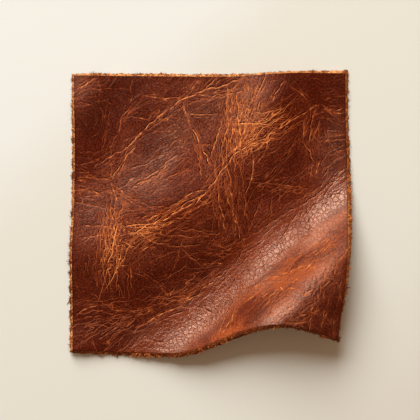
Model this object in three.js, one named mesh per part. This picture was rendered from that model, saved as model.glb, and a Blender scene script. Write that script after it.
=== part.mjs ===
// A hand-cut square of pull-up leather, lying grain side up with its front right corner raised in a wave.
//
// Millimetres, +Z up. The origin is on the surface that the leather rests on, under the middle of its
// outline. +X runs to the right along the front edge and +Y from the front edge to the back edge.
//
// The flesh side is a height over the resting surface: zero where the leather touches, low swells where
// the hide has kept its shape, and one tall wave that runs slantwise in front of the raised corner.
// The grain side lies one thickness away along the normal, and the cut edge slants out to the flesh side.
import * as THREE from "three";

// ---- Driving sizes -------------------------------------------------------------------------------

const THICKNESS = 1.5;
const CUT_SLANT = 0.9; // how far the grain side is cut in from the edge of the flesh side
const CELLS = 44; // grid cells along each edge
const SLOPE_STEP = 0.05; // the distance over which a slope is measured

// The four edges of the flesh side seen from above, each from left to right or from front to back.
const FRONT_EDGE = [
  { x: -50.7, y: -50.4 },
  { x: -36.4, y: -51.0 },
  { x: -18.2, y: -51.7 },
  { x: -10.9, y: -51.5 },
  { x: -3.7, y: -49.7 },
  { x: 6.3, y: -45.5 },
  { x: 17.5, y: -41.4 },
  { x: 27.0, y: -40.1 },
  { x: 35.3, y: -41.9 },
  { x: 46.0, y: -46.0 },
];
const RIGHT_EDGE = [
  { x: 46.0, y: -46.0 },
  { x: 46.0, y: -40.5 },
  { x: 47.5, y: -31.5 },
  { x: 48.9, y: -20.8 },
  { x: 50.3, y: -6.6 },
  { x: 50.7, y: 4.2 },
  { x: 50.6, y: 15.2 },
  { x: 50.0, y: 33.2 },
  { x: 49.9, y: 51.8 },
];
const BACK_EDGE = [
  { x: -50.1, y: 50.7 },
  { x: -29.6, y: 50.8 },
  { x: 10.4, y: 50.6 },
  { x: 25.2, y: 51.3 },
  { x: 34.4, y: 51.7 },
  { x: 49.9, y: 51.8 },
];
const LEFT_EDGE = [
  { x: -50.7, y: -50.4 },
  { x: -50.9, y: -14.0 },
  { x: -50.3, y: 0.2 },
  { x: -50.1, y: 23.1 },
  { x: -50.1, y: 50.7 },
];

// The wave. Its fold lines run up and to the right at this angle, and "across" is measured square to
// them, from the origin towards the front right corner. Each row is a section at a place along a fold
// line: where the leather starts to rise, where its crest is, and how high the crest stands.
const FOLD_ANGLE = THREE.MathUtils.degToRad(38);
const WAVE_FALL = 37; // from the crest to where the far side would come down again
const WAVE_SECTIONS = [
  { along: -45, start: 13.5, crest: 53.0, rise: 13.0 },
  { along: -25, start: 16.5, crest: 50.0, rise: 13.8 },
  { along: 0, start: 12.5, crest: 47.0, rise: 13.7 },
  { along: 28, start: 12.0, crest: 43.5, rise: 11.3 },
  { along: 50, start: 12.0, crest: 42.0, rise: 8.8 },
];

// The low swells: soft oval rises that end flat at their rim. Angles are in degrees from +X.
const SWELLS = [
  { x: -26, y: -7, length: 44, width: 26, angle: 28, height: 2.6 },
  { x: 2, y: 9, length: 36, width: 26, angle: 46, height: 2.6 },
  { x: 25, y: 41, length: 34, width: 22, angle: 78, height: 2.6 },
  { x: -48, y: 41, length: 24, width: 15, angle: 55, height: 1.6 },
  { x: -52, y: -52, length: 24, width: 14, angle: 20, height: 1.3 },
];

// ---- The shape -----------------------------------------------------------------------------------

const clamp01 = (t) => Math.min(1, Math.max(0, t));
const smooth = (t) => t * t * (3 - 2 * t);
// From 0 to 1 with a long gentle foot, steepest two thirds of the way up.
const climb = (t) => t ** 3 * (4 - 3 * t);

// The wave's section at a place along its folds, between the rows of the table.
function waveSection(along) {
  const last = WAVE_SECTIONS.length - 1;
  const found = WAVE_SECTIONS.findIndex((row) => row.along > along);
  const next = THREE.MathUtils.clamp(found < 0 ? last : found, 1, last);
  const a = WAVE_SECTIONS[next - 1];
  const b = WAVE_SECTIONS[next];
  const share = smooth(clamp01((along - a.along) / (b.along - a.along)));
  const between = (key) => a[key] + (b[key] - a[key]) * share;
  return { start: between("start"), crest: between("crest"), rise: between("rise") };
}

function waveHeight(x, y) {
  const along = x * Math.cos(FOLD_ANGLE) + y * Math.sin(FOLD_ANGLE);
  const across = x * Math.sin(FOLD_ANGLE) - y * Math.cos(FOLD_ANGLE);
  const { start, crest, rise } = waveSection(along);
  if (across < crest) return rise * climb(clamp01((across - start) / (crest - start)));
  const fallen = clamp01((across - crest) / WAVE_FALL);
  return (rise * (1 + Math.cos(Math.PI * fallen))) / 2;
}

function swellHeight(swell, x, y) {
  const turn = THREE.MathUtils.degToRad(swell.angle);
  const dx = x - swell.x;
  const dy = y - swell.y;
  const lengthwise = (dx * Math.cos(turn) + dy * Math.sin(turn)) / swell.length;
  const widthwise = (dy * Math.cos(turn) - dx * Math.sin(turn)) / swell.width;
  const left = Math.max(0, 1 - lengthwise ** 2 - widthwise ** 2);
  return swell.height * left ** 3;
}

// How high the flesh side lies over the resting surface.
function height(x, y) {
  return SWELLS.reduce((sum, swell) => sum + swellHeight(swell, x, y), waveHeight(x, y));
}

function edgeCurve(rows) {
  const points = rows.map((row) => new THREE.Vector3(row.x, row.y, 0));
  return new THREE.CatmullRomCurve3(points, false, "centripetal");
}

const EDGES = {
  front: edgeCurve(FRONT_EDGE),
  right: edgeCurve(RIGHT_EDGE),
  back: edgeCurve(BACK_EDGE),
  left: edgeCurve(LEFT_EDGE),
};

// A point of the leather seen from above: u runs from the left edge to the right, v from front to back.
function planPoint(u, v) {
  const front = EDGES.front.getPointAt(u);
  const back = EDGES.back.getPointAt(u);
  const left = EDGES.left.getPointAt(v);
  const right = EDGES.right.getPointAt(v);
  const corners = new THREE.Vector3()
    .addScaledVector(EDGES.front.points[0], (1 - u) * (1 - v))
    .addScaledVector(EDGES.front.points.at(-1), u * (1 - v))
    .addScaledVector(EDGES.back.points[0], (1 - u) * v)
    .addScaledVector(EDGES.back.points.at(-1), u * v);
  return front
    .multiplyScalar(1 - v)
    .addScaledVector(back, v)
    .addScaledVector(left, 1 - u)
    .addScaledVector(right, u)
    .sub(corners);
}

function surfaceNormal(x, y) {
  const slopeX = (height(x + SLOPE_STEP, y) - height(x - SLOPE_STEP, y)) / (2 * SLOPE_STEP);
  const slopeY = (height(x, y + SLOPE_STEP) - height(x, y - SLOPE_STEP)) / (2 * SLOPE_STEP);
  return new THREE.Vector3(-slopeX, -slopeY, 1).normalize();
}

function fleshPoint(u, v) {
  const point = planPoint(u, v);
  return point.setZ(height(point.x, point.y));
}

function grainPoint(u, v) {
  const side = RIGHT_EDGE.at(-1).y - RIGHT_EDGE[0].y;
  const inset = CUT_SLANT / side;
  const point = fleshPoint(inset + u * (1 - 2 * inset), inset + v * (1 - 2 * inset));
  return point.addScaledVector(surfaceNormal(point.x, point.y), THICKNESS);
}

// One closed solid: both sides as grids, each cell cut along the folds' direction, and the cut edge.
function leatherGeometry() {
  const positions = [];
  for (const sidePoint of [fleshPoint, grainPoint]) {
    for (let row = 0; row <= CELLS; row++) {
      for (let column = 0; column <= CELLS; column++) {
        positions.push(...sidePoint(column / CELLS, row / CELLS));
      }
    }
  }

  const rowLength = CELLS + 1;
  const flesh = (column, row) => row * rowLength + column;
  const grain = (column, row) => rowLength * rowLength + flesh(column, row);
  const indices = [];
  for (let row = 0; row < CELLS; row++) {
    for (let column = 0; column < CELLS; column++) {
      const quad = (side) => [
        side(column, row),
        side(column + 1, row),
        side(column + 1, row + 1),
        side(column, row + 1),
      ];
      const [a, b, c, d] = quad(grain);
      indices.push(a, b, c, a, c, d);
      const [e, f, g, h] = quad(flesh);
      indices.push(e, g, f, e, h, g);
    }
  }
  const wall = (from, to) => {
    const [a, b, c, d] = [flesh(...from), flesh(...to), grain(...to), grain(...from)];
    indices.push(a, b, c, a, c, d);
  };
  for (let step = 0; step < CELLS; step++) {
    wall([step, 0], [step + 1, 0]);
    wall([CELLS, step], [CELLS, step + 1]);
    wall([CELLS - step, CELLS], [CELLS - step - 1, CELLS]);
    wall([0, CELLS - step], [0, CELLS - step - 1]);
  }

  const geometry = new THREE.BufferGeometry();
  geometry.setAttribute("position", new THREE.Float32BufferAttribute(positions, 3));
  geometry.setIndex(indices);
  geometry.computeVertexNormals();
  return geometry;
}

// ---- The part ------------------------------------------------------------------------------------

const leatherMaterial = new THREE.MeshStandardMaterial({
  color: new THREE.Color().setRGB(0.42, 0.17, 0.08, THREE.SRGBColorSpace),
  roughness: 0.45,
  metalness: 0,
});

const leather = new THREE.Mesh(leatherGeometry(), leatherMaterial);
leather.name = "leather";

const part = new THREE.Group();
part.add(leather);

export default part;
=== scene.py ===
"""A hand-cut square of pull-up leather, lying grain side up with its front right corner raised in a wave.

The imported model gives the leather's body and its place. This script makes the leather that is seen: one
closed sheet on the same lie, with its creases, its grain and its cut edges, and the loose fibres that stand
out of the cut. Tables are in millimetres, seen from above, +X to the right and +Y to the back.
"""

import math
from collections import namedtuple

import bmesh
import bpy
import numpy as np
from mathutils import Color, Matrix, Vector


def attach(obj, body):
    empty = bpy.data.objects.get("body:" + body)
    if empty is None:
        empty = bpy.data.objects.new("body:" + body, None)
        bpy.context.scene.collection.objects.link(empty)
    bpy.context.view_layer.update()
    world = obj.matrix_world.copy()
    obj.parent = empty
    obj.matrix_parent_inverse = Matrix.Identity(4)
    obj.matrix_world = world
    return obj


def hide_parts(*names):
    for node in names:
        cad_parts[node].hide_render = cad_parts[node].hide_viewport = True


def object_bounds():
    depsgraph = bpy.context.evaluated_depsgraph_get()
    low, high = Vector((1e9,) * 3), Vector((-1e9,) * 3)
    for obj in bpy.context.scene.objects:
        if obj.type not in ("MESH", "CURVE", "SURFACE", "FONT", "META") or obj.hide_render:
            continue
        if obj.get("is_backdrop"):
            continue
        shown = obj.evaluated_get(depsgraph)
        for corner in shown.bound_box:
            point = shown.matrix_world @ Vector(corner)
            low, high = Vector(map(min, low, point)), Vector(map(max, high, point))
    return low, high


bl_info = {
    "name": "Creased leather square",
    "version": (1, 0, 0),
    "blender": (4, 5, 0),
    "location": "View3D > Sidebar > Leather",
    "description": "Cuts, creases and finishes a square of pull-up leather",
    "category": "Object",
}

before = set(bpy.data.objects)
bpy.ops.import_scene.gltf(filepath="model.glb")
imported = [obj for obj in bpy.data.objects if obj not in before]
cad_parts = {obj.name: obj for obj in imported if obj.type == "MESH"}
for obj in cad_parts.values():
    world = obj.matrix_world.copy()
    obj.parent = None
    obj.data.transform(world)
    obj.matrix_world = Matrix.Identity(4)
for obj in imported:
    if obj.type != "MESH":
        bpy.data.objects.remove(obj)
CAD_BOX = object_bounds()

MM = 0.001
NODE = "leather"
BODY = "root"


def table(kind, *rows):
    """The rows of a table, each with its columns named."""
    return tuple(kind(*row) for row in rows)


# ---- How the leather lies --------------------------------------------------------------------------

FLAT_SIDE = 101.0  # the square as it was cut

# The four edges of the flesh side seen from above, from left to right or from front to back.
FRONT_EDGE = (
    (-50.7, -50.4), (-36.4, -51.0), (-18.2, -51.7), (-10.9, -51.5), (-3.7, -49.7),
    (6.3, -45.5), (17.5, -41.4), (27.0, -40.1), (35.3, -41.9), (46.0, -46.0),
)
RIGHT_EDGE = (
    (46.0, -46.0), (46.0, -40.5), (47.5, -31.5), (48.9, -20.8), (50.3, -6.6),
    (50.7, 4.2), (50.6, 15.2), (50.0, 33.2), (49.9, 51.8),
)
BACK_EDGE = ((-50.1, 50.7), (-29.6, 50.8), (10.4, 50.6), (25.2, 51.3), (34.4, 51.7), (49.9, 51.8))
LEFT_EDGE = ((-50.7, -50.4), (-50.9, -14.0), (-50.3, 0.2), (-50.1, 23.1), (-50.1, 50.7))

# The wave in front of the raised corner. Its fold lines run at this angle, and "across" is measured
# square to them from the origin. Each row is a section at a place along a fold line.
FOLD_ANGLE = math.radians(38)
WAVE_FALL = 37.0  # how far beyond its crest the wave would be down again
Section = namedtuple("Section", "along start crest rise")
WAVE_SECTIONS = table(
    Section,
    (-45, 13.5, 53.0, 13.0),
    (-25, 16.5, 50.0, 13.8),
    (0, 12.5, 47.0, 13.7),
    (28, 12.0, 43.5, 11.3),
    (50, 12.0, 42.0, 8.8),
)

# The low swells: soft oval rises that end flat at their rim, their angle in degrees from +X.
Swell = namedtuple("Swell", "x y length width angle height")
SWELLS = table(
    Swell,
    (-26, -7, 44, 26, 28, 2.6),
    (2, 9, 36, 26, 46, 2.6),
    (25, 41, 34, 22, 78, 2.6),
    (-48, 41, 24, 15, 55, 1.6),
    (-52, -52, 24, 14, 20, 1.3),
)

# ---- The main creases ------------------------------------------------------------------------------

# Each row is one bundle of creases: where it starts and ends, how far its middle bows to
# the left of that line, how wide it spreads, how many strands it has, and how strong they are.
Crease = namedtuple("Crease", "x0 y0 x1 y1 bow spread strands strength")
CREASES = table(
    Crease,
    # the long diagonal at the upper left
    (-44.5, 16, -32, 23.5, 0.6, 0.8, 5, 0.7), (-33, 22.5, -24.5, 31, -0.3, 0.5, 5, 1),
    (-24.8, 30.6, -15, 38.8, 0.5, 0.7, 5, 0.9), (-24, 30, -13, 37.2, 0.2, 0.9, 4, 0.7),
    (-15.5, 38.3, -5, 44.4, 0.8, 0.4, 4, 1), (-6, 43.9, 3, 50.3, -0.6, 0.6, 4, 0.8),
    (-5, 44.3, 5.5, 44, -0.7, 0.5, 3, 0.7), (-2.5, 45.6, 12, 50.2, -0.7, 1.2, 5, 0.9),
    (-7, 45, -3.3, 50, 0.3, 0.5, 3, 0.6), (-9, 39.8, 4, 42.4, 0.9, 0.8, 3, 0.5),
    # the long central diagonal
    (-30.3, -7.5, -17, -1, -0.6, 0.9, 6, 1), (-18, -3.4, -6, 3.8, 0.4, 0.5, 5, 1),
    (-12.5, 1, -2.5, 7.2, 0.3, 0.4, 3, 0.8), (-6.5, 3.6, 0, 9.5, -0.7, 0.4, 4, 0.95),
    (-1, 8.4, 6, 17.6, 0.2, 0.5, 5, 1), (-11, -1, 2, 5.4, 0.3, 0.5, 3, 0.6),
    (4.5, 15.5, 14, 25, 0.8, 0.6, 5, 1), (13, 24.4, 25, 31, -0.5, 0.5, 5, 1),
    (14.5, 24.3, 26, 28.2, 0.4, 0.4, 3, 0.8), (24.5, 30.8, 36, 38, 0.3, 0.5, 4, 1),
    (35, 37.2, 40.8, 40.3, 0.4, 0.6, 5, 0.9), (20.5, 32, 29, 36.8, 0.4, 0.8, 4, 0.8),
    (-25, -3, -17.5, 0.8, -0.3, 0.6, 3, 0.8), (-28.5, -4.8, -15.5, -4, -0.4, 0.7, 4, 0.7),
    (-26.5, -6.2, -15, -10.8, -1.6, 0.7, 4, 0.8), (-20, -7, -2, -8, -0.7, 1, 4, 0.55),
    (-12, -6, 2.5, -7.6, 0.6, 0.6, 3, 0.55),
    # the fan that it ends in at the right
    (40.3, 40.2, 49.3, 38.7, -1.1, 0.3, 3, 0.8), (40.5, 39.7, 49.3, 36.7, -0.4, 0.4, 4, 0.7),
    (42, 38.8, 48.5, 34.5, -0.3, 0.5, 3, 0.6), (40.8, 41.3, 49.4, 43, 0.8, 0.5, 3, 0.6),
    (39, 41.8, 47.5, 46.5, 0.3, 0.5, 2, 0.4),
    # the upright crease at the left and the star that it runs into
    (-28.2, 50.3, -29.6, 40, -0.4, 0.3, 2, 0.65), (-29.5, 40.6, -34.2, 29.5, -0.5, 0.4, 3, 0.7),
    (-34, 30.2, -37.2, 20.8, -0.6, 0.4, 3, 0.6), (-41.5, 39.6, -36.7, 30.5, 0.6, 0.3, 2, 0.6),
    (-36.8, 31.2, -40.2, 22.3, -0.9, 0.4, 2, 0.6), (-41.4, 49.8, -41.5, 39.5, 0.2, 0.3, 2, 0.45),
    (-27, 25.5, -34, 13.5, -1, 0.6, 4, 0.7), (-30, 22, -36.2, 12.2, -0.5, 0.9, 4, 0.65),
    (-37, 19.5, -36.8, 12, 0.5, 0.5, 3, 0.6), (-36.6, 12, -35, 0.8, 0.5, 0.5, 5, 0.75),
    (-35.2, 1.5, -35, -10.5, -0.3, 0.5, 4, 0.75), (-34.8, -10, -38.2, -18.5, 0.3, 0.6, 4, 1),
    (-38.6, -5, -39.2, -19, 0.3, 0.9, 4, 0.75), (-34, -13.5, -35, -21, 0.2, 0.8, 3, 0.8),
    (-45.5, 14.6, -36.5, 11.4, 0.4, 0.5, 4, 0.65), (-36, 11, -26.5, 4.2, -0.4, 0.6, 5, 0.7),
    (-35.3, 8.8, -24, 1.8, -0.5, 0.6, 4, 0.65), (-27, 4.4, -16.5, 2.2, -0.6, 0.6, 4, 0.6),
    # strands in the light band at the left
    (-28.5, 9.8, -15, 18.2, 0, 0.4, 3, 0.65), (-29.6, 8.7, -14.8, 17.4, -0.3, 0.3, 3, 0.6),
    (-22.2, 9.4, -15.8, 14.8, 0.4, 0.5, 3, 0.5), (-31.2, 10.4, -27, 13.6, 0.3, 0.5, 2, 0.6),
    (-30, 16.1, -15, 22.8, -0.4, 0.4, 3, 0.6), (-17.8, 16.3, -11.8, 22.3, 0.2, 0.7, 3, 0.65),
    (-18, 17, -8.5, 20.5, 0.4, 0.9, 3, 0.4),
    # level creases along the left edge
    (-49.4, 45.6, -42.4, 49.9, -0.3, 0.4, 3, 0.8), (-49.4, 44, -45, 44.2, 0.2, 0.5, 2, 0.4),
    (-49.3, 40.4, -42, 39.7, 0.3, 0.3, 2, 0.45), (-47.5, 33.8, -40.5, 31, -0.3, 0.4, 2, 0.4),
    (-49.4, 22.9, -40, 22.8, -0.3, 0.3, 2, 0.5), (-49.4, 20.8, -40.4, 20.9, -0.4, 0.3, 3, 0.6),
    (-49.4, 18.5, -40, 20, -0.5, 0.4, 3, 0.7), (-49.4, 15.3, -44, 15.5, -0.2, 0.3, 3, 0.8),
    (-49.4, 13.2, -44.4, 14.2, -0.4, 0.3, 2, 0.7), (-49.4, 11.6, -45.4, 12.3, 0.3, 0.3, 2, 0.7),
    (-49.4, 10.3, -45.8, 10.4, 0.2, 0.3, 2, 0.5), (-46.5, 8.7, -40, 7.2, -0.3, 0.4, 3, 0.65),
    (-49.3, 5.6, -40, 6.9, 0.3, 0.4, 3, 0.5), (-48.5, -4.6, -36.5, -5.1, 0.3, 0.4, 3, 0.5),
    (-41.6, -4.6, -46.4, -10.8, 0.7, 0.3, 2, 0.5),
    # level creases at the upper left and middle
    (-40.2, 45.6, -30, 45.9, 0.4, 0.4, 2, 0.6), (-30, 36, -22, 34.4, 0.2, 0.3, 2, 0.7),
    (-25.5, 43.6, -15, 41, 0.6, 0.3, 3, 0.7), (-18, 42.6, -9.8, 42.5, 0.1, 0.3, 2, 0.6),
    (-22, 30.8, -14, 30.6, -0.2, 0.4, 2, 0.5), (-18, 33.8, -12.5, 37.4, 0.2, 0.5, 2, 0.5),
    (-8.4, 36.9, 3.2, 37, -0.5, 0.3, 3, 0.7),
    # the crease that runs down through the middle
    (-9.8, 42, -7.4, 32, -0.3, 0.3, 3, 0.7), (-7.6, 32.6, -3.4, 25, 0.3, 0.4, 3, 0.85),
    (-3.7, 25.6, 0.4, 16.6, 0.2, 0.5, 4, 0.75), (0.2, 17, 3.2, 9, 0.3, 0.9, 4, 0.6),
    (2.2, 10.2, 6, -7, -0.5, 0.5, 5, 0.75), (4.8, 12.2, 7.6, 1.2, -0.2, 0.5, 3, 0.65),
    (7, 14.2, 9.4, -4.2, -0.4, 0.5, 4, 0.65), (8.9, 0.5, 10.9, -10.2, 0.3, 0.4, 3, 0.65),
    (9.8, 4.2, 14.2, -3.2, 0.4, 0.5, 2, 0.5),
    # the upright bundle at the upper middle
    (6.2, 45.2, 6.6, 34.8, -0.4, 0.6, 4, 0.7), (6.9, 36, 4.6, 24, 0.3, 0.6, 4, 0.75),
    (8.2, 46.4, 7.4, 33, 0.2, 0.5, 4, 0.65), (7.9, 34, 7.2, 21, 0.2, 0.8, 5, 0.65),
    (10.2, 45.4, 10, 33.5, 0.1, 0.5, 4, 0.8), (10.4, 35, 11.3, 21.5, 0.2, 0.7, 6, 0.85),
    (9.4, 33, 9.2, 20.5, 0.1, 0.5, 4, 0.7), (13.6, 36, 11.4, 27, 0.3, 0.9, 4, 0.7),
    # creases in the light patch right of it, and the two that meet at the back edge
    (10.6, 41, 16.4, 37.2, -0.3, 0.3, 2, 0.6), (16.2, 37.3, 25.2, 39.2, -1, 0.5, 4, 0.8),
    (18.8, 42, 17.2, 36.6, -0.2, 0.4, 3, 0.7), (28.2, 49.8, 22.4, 40.4, -0.6, 0.3, 3, 0.85),
    (26.2, 44, 25.9, 37, -0.3, 0.3, 2, 0.7), (28.3, 47.3, 36, 41.2, 0.3, 0.3, 3, 0.75),
    (32.5, 42, 29.5, 37, 0.2, 0.5, 2, 0.4),
    # the slanting creases at the right
    (38.6, 40.2, 36.3, 25.6, -0.5, 0.5, 4, 0.65), (40.2, 35, 36.9, 26.4, 0.3, 0.4, 3, 0.6),
    (34.9, 36.2, 34, 25.6, -0.4, 0.3, 2, 0.6), (33.9, 26.4, 38.2, 18, 0.5, 0.3, 3, 0.7),
    (38.4, 18.6, 37, 12.4, -0.5, 0.5, 3, 0.6), (40.6, 20, 38, 13.6, 0.3, 0.4, 2, 0.6),
    (42, 30.2, 49.4, 30, 0.4, 0.5, 3, 0.6), (43, 29.1, 49.4, 28.9, -0.5, 0.4, 3, 0.6),
    (42.2, 20.2, 49.4, 23.8, 0.3, 0.6, 4, 0.5), (43, 17, 49.4, 21.4, 0.2, 0.6, 4, 0.5),
    (40.4, 16, 46.6, 19.8, -0.3, 0.5, 3, 0.5), (45.4, 12.4, 49.6, 16, 0.2, 0.5, 3, 0.65),
    (40.8, 12.6, 44.4, 18.4, -0.2, 0.5, 3, 0.55),
    # the crease that runs level into the right edge
    (14.8, 11.7, 36.4, 9, 0.5, 0.4, 4, 0.65), (16, 9.9, 30, 13.7, 0.6, 0.4, 3, 0.6),
    (20.4, 10.4, 27.6, 17.6, 0.4, 0.4, 2, 0.5), (23.9, 10, 24.8, 3, 0.3, 0.3, 2, 0.5),
    (22.2, 9.6, 22, -1, 0.2, 0.4, 2, 0.45),
    # the crease along the foot of the wave
    (-49.6, -37.6, -40, -33.9, 1.1, 0.5, 4, 0.85), (-40.5, -34, -30, -36.6, 0.3, 0.5, 4, 0.85),
    (-30.8, -36.6, -19.6, -33.4, -0.6, 0.5, 4, 0.8), (-20, -33.7, -16.8, -30.4, -0.4, 0.3, 3, 0.85),
    (-49.4, -39.2, -39, -38.4, 0.9, 0.6, 3, 0.65), (-39.5, -38.2, -30, -44, 0.7, 0.6, 3, 0.65),
    (-34.4, -37.8, -28.4, -38.4, 0.2, 0.5, 3, 0.7), (-30, -40, -20, -35.6, 0.5, 0.6, 4, 0.85),
    (-28.2, -44.2, -24, -40.8, 0.6, 0.4, 4, 0.95), (-24.6, -41.2, -15, -35.4, 0.3, 0.5, 5, 1),
    (-24.2, -40.4, -17.6, -38, 0.3, 0.5, 3, 0.8), (-17.4, -36.8, -9.8, -33.9, 0.2, 0.5, 5, 1),
    (-12.6, -32.6, -6.8, -30.6, 0.2, 0.5, 3, 0.8), (-10.4, -34, -0.5, -26.8, 0.2, 0.6, 5, 0.95),
    (-1.6, -27.6, 9.6, -18.6, 0.2, 0.6, 5, 0.95), (9, -20.2, 14, -12.2, 0.6, 0.5, 4, 0.95),
    (2.8, -14.6, 15.8, -7, -0.5, 0.6, 4, 0.65), (15, -8.2, 33, 2.4, 0.4, 0.8, 5, 0.65),
    (32, 1.6, 44, 10.4, -0.5, 0.6, 5, 0.75), (43, 9.8, 49.4, 13.4, 0.2, 0.5, 4, 0.8),
    (18, -10.2, 27, -2.2, 0.3, 0.4, 3, 0.6), (26.6, -9.6, 32.8, 0, 0.4, 0.3, 2, 0.7),
    (-12.6, -34.8, 3.4, -37.8, 1.3, 0.5, 4, 0.7), (-12, -31.4, -3.2, -23.6, 0.6, 0.7, 4, 0.7),
    (-6.6, -24.2, -2.4, -19.8, 0.2, 0.4, 2, 0.6), (-4.2, -19.6, 5.6, -18.8, 0.8, 0.5, 3, 0.7),
    (-10, -28.6, 0.5, -24, 0.2, 1.1, 5, 0.55), (0.8, -36, 6.4, -26, 1.2, 0.6, 3, 0.5),
    (5.2, -30.2, 11.4, -20.6, -0.6, 0.4, 3, 0.65), (35.8, 3.4, 36.9, -9, 0.4, 0.3, 2, 0.65),
    (40, 4, 49.4, 8.2, -0.4, 0.5, 3, 0.55), (5.5, -23, 12.5, -16.5, 0.3, 0.4, 4, 0.75),
    (9.5, -21, 15.5, -14, -0.3, 0.4, 3, 0.7), (12.5, -16, 21, -9.5, 0.4, 0.5, 4, 0.7),
    (15, -17.5, 19, -12, 0.2, 0.4, 3, 0.6), (10, -12.5, 17, -10, -0.3, 0.4, 3, 0.6),
    # creases in the dark hollows
    (-25.6, -21, -14.6, -31.6, 0.7, 0.3, 4, 0.7), (-28.6, -21.2, -22, -24.6, 0.4, 0.3, 2, 0.6),
    (-29.4, -21, -31.8, -33.2, 0.9, 0.3, 2, 0.6), (-37, -26.6, -35.2, -33.6, -0.2, 0.3, 2, 0.5),
    (-33, -28.6, -32, -33.4, -0.2, 0.4, 2, 0.4), (-11.6, -12, -3.6, -19.4, 0.3, 0.3, 3, 0.65),
    (-11.4, -12.2, -14.6, -21.4, 0.5, 0.3, 2, 0.6), (-11.2, -12.6, -9.6, -8.6, 0.2, 0.3, 2, 0.5),
    (-14.6, -21, -18.2, -27.6, 0.3, 0.3, 2, 0.45), (-19, -9, -27, -14.2, 0.3, 0.5, 3, 0.6),
    (-29.8, -12, -34.6, -20.6, 0.4, 0.6, 3, 0.65), (4.6, -5.6, -1.6, -12.8, -0.5, 0.3, 3, 0.6),
    (0.4, -10.8, 7, -13.8, 0.2, 0.3, 3, 0.65), (-4, -13.8, 13, -14.2, -0.7, 0.5, 3, 0.55),
    (1.8, -14.8, 5.6, -17, 0.1, 0.3, 2, 0.6),
    # the front left corner
    (-49.4, -33, -41.6, -31.4, 0.3, 0.6, 3, 0.5), (-45.6, -29.2, -37, -34, 0.5, 0.5, 3, 0.6),
    (-49.4, -44.2, -41.6, -40.4, 0.7, 0.5, 3, 0.55), (-48.6, -49, -44.6, -44, 0.3, 0.6, 3, 0.5),
    (-43.8, -41.6, -42.6, -49.6, -0.3, 0.6, 3, 0.5), (-41.6, -47.2, -33, -42.2, 0.9, 0.4, 4, 0.85),
    (-33.6, -42.4, -28.6, -39.4, 0.2, 0.5, 3, 0.7), (-29.2, -49.6, -25.6, -44.6, -0.3, 0.3, 3, 0.8),
    (-32.6, -50, -29.4, -45.2, 0.2, 0.4, 3, 0.6), (-34.4, -50, -32, -45.4, 0.3, 0.4, 3, 0.5),
    (-26.2, -44.6, -15, -48.2, -0.4, 0.4, 3, 0.6), (-38.6, -50.2, -37.8, -44.6, 0.2, 0.7, 3, 0.5),
    # streaks where the wave stretches the leather
    (3.4, -45.4, 10.6, -30.6, 0.7, 0.8, 5, 0.75), (4.8, -44.4, 9.4, -36.4, -0.4, 0.6, 4, 0.7),
    (8.2, -42.6, 10.2, -33.6, 0.3, 0.5, 3, 0.55), (10.4, -31.6, 11.4, -24, 0.2, 0.6, 3, 0.6),
    (14.6, -28.2, 30.2, -21.8, 0.6, 0.9, 6, 0.7), (28, -22.8, 41, -17.4, 0.5, 0.8, 5, 0.65),
    (20, -37.2, 26.6, -27.4, 0.2, 0.5, 4, 0.6), (24.6, -27, 27.6, -29.2, 0, 0.4, 2, 0.7),
    (27.6, -28.6, 33, -27.6, 0.4, 0.3, 3, 0.65), (29, -25.8, 34, -24.8, 0.2, 0.5, 3, 0.5),
    # the raised corner
    (33.8, -35, 37.6, -36.6, 0.2, 0.5, 3, 0.6), (36, -32, 35.4, -39, 0.2, 0.5, 3, 0.6),
    (41.4, -34.6, 40.8, -38.4, 0.1, 0.4, 3, 0.6), (42.2, -30.8, 44.4, -27, 0.1, 0.4, 2, 0.5),
    (30.2, -38.2, 34.8, -36, 0.2, 0.4, 3, 0.6),
)
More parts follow.
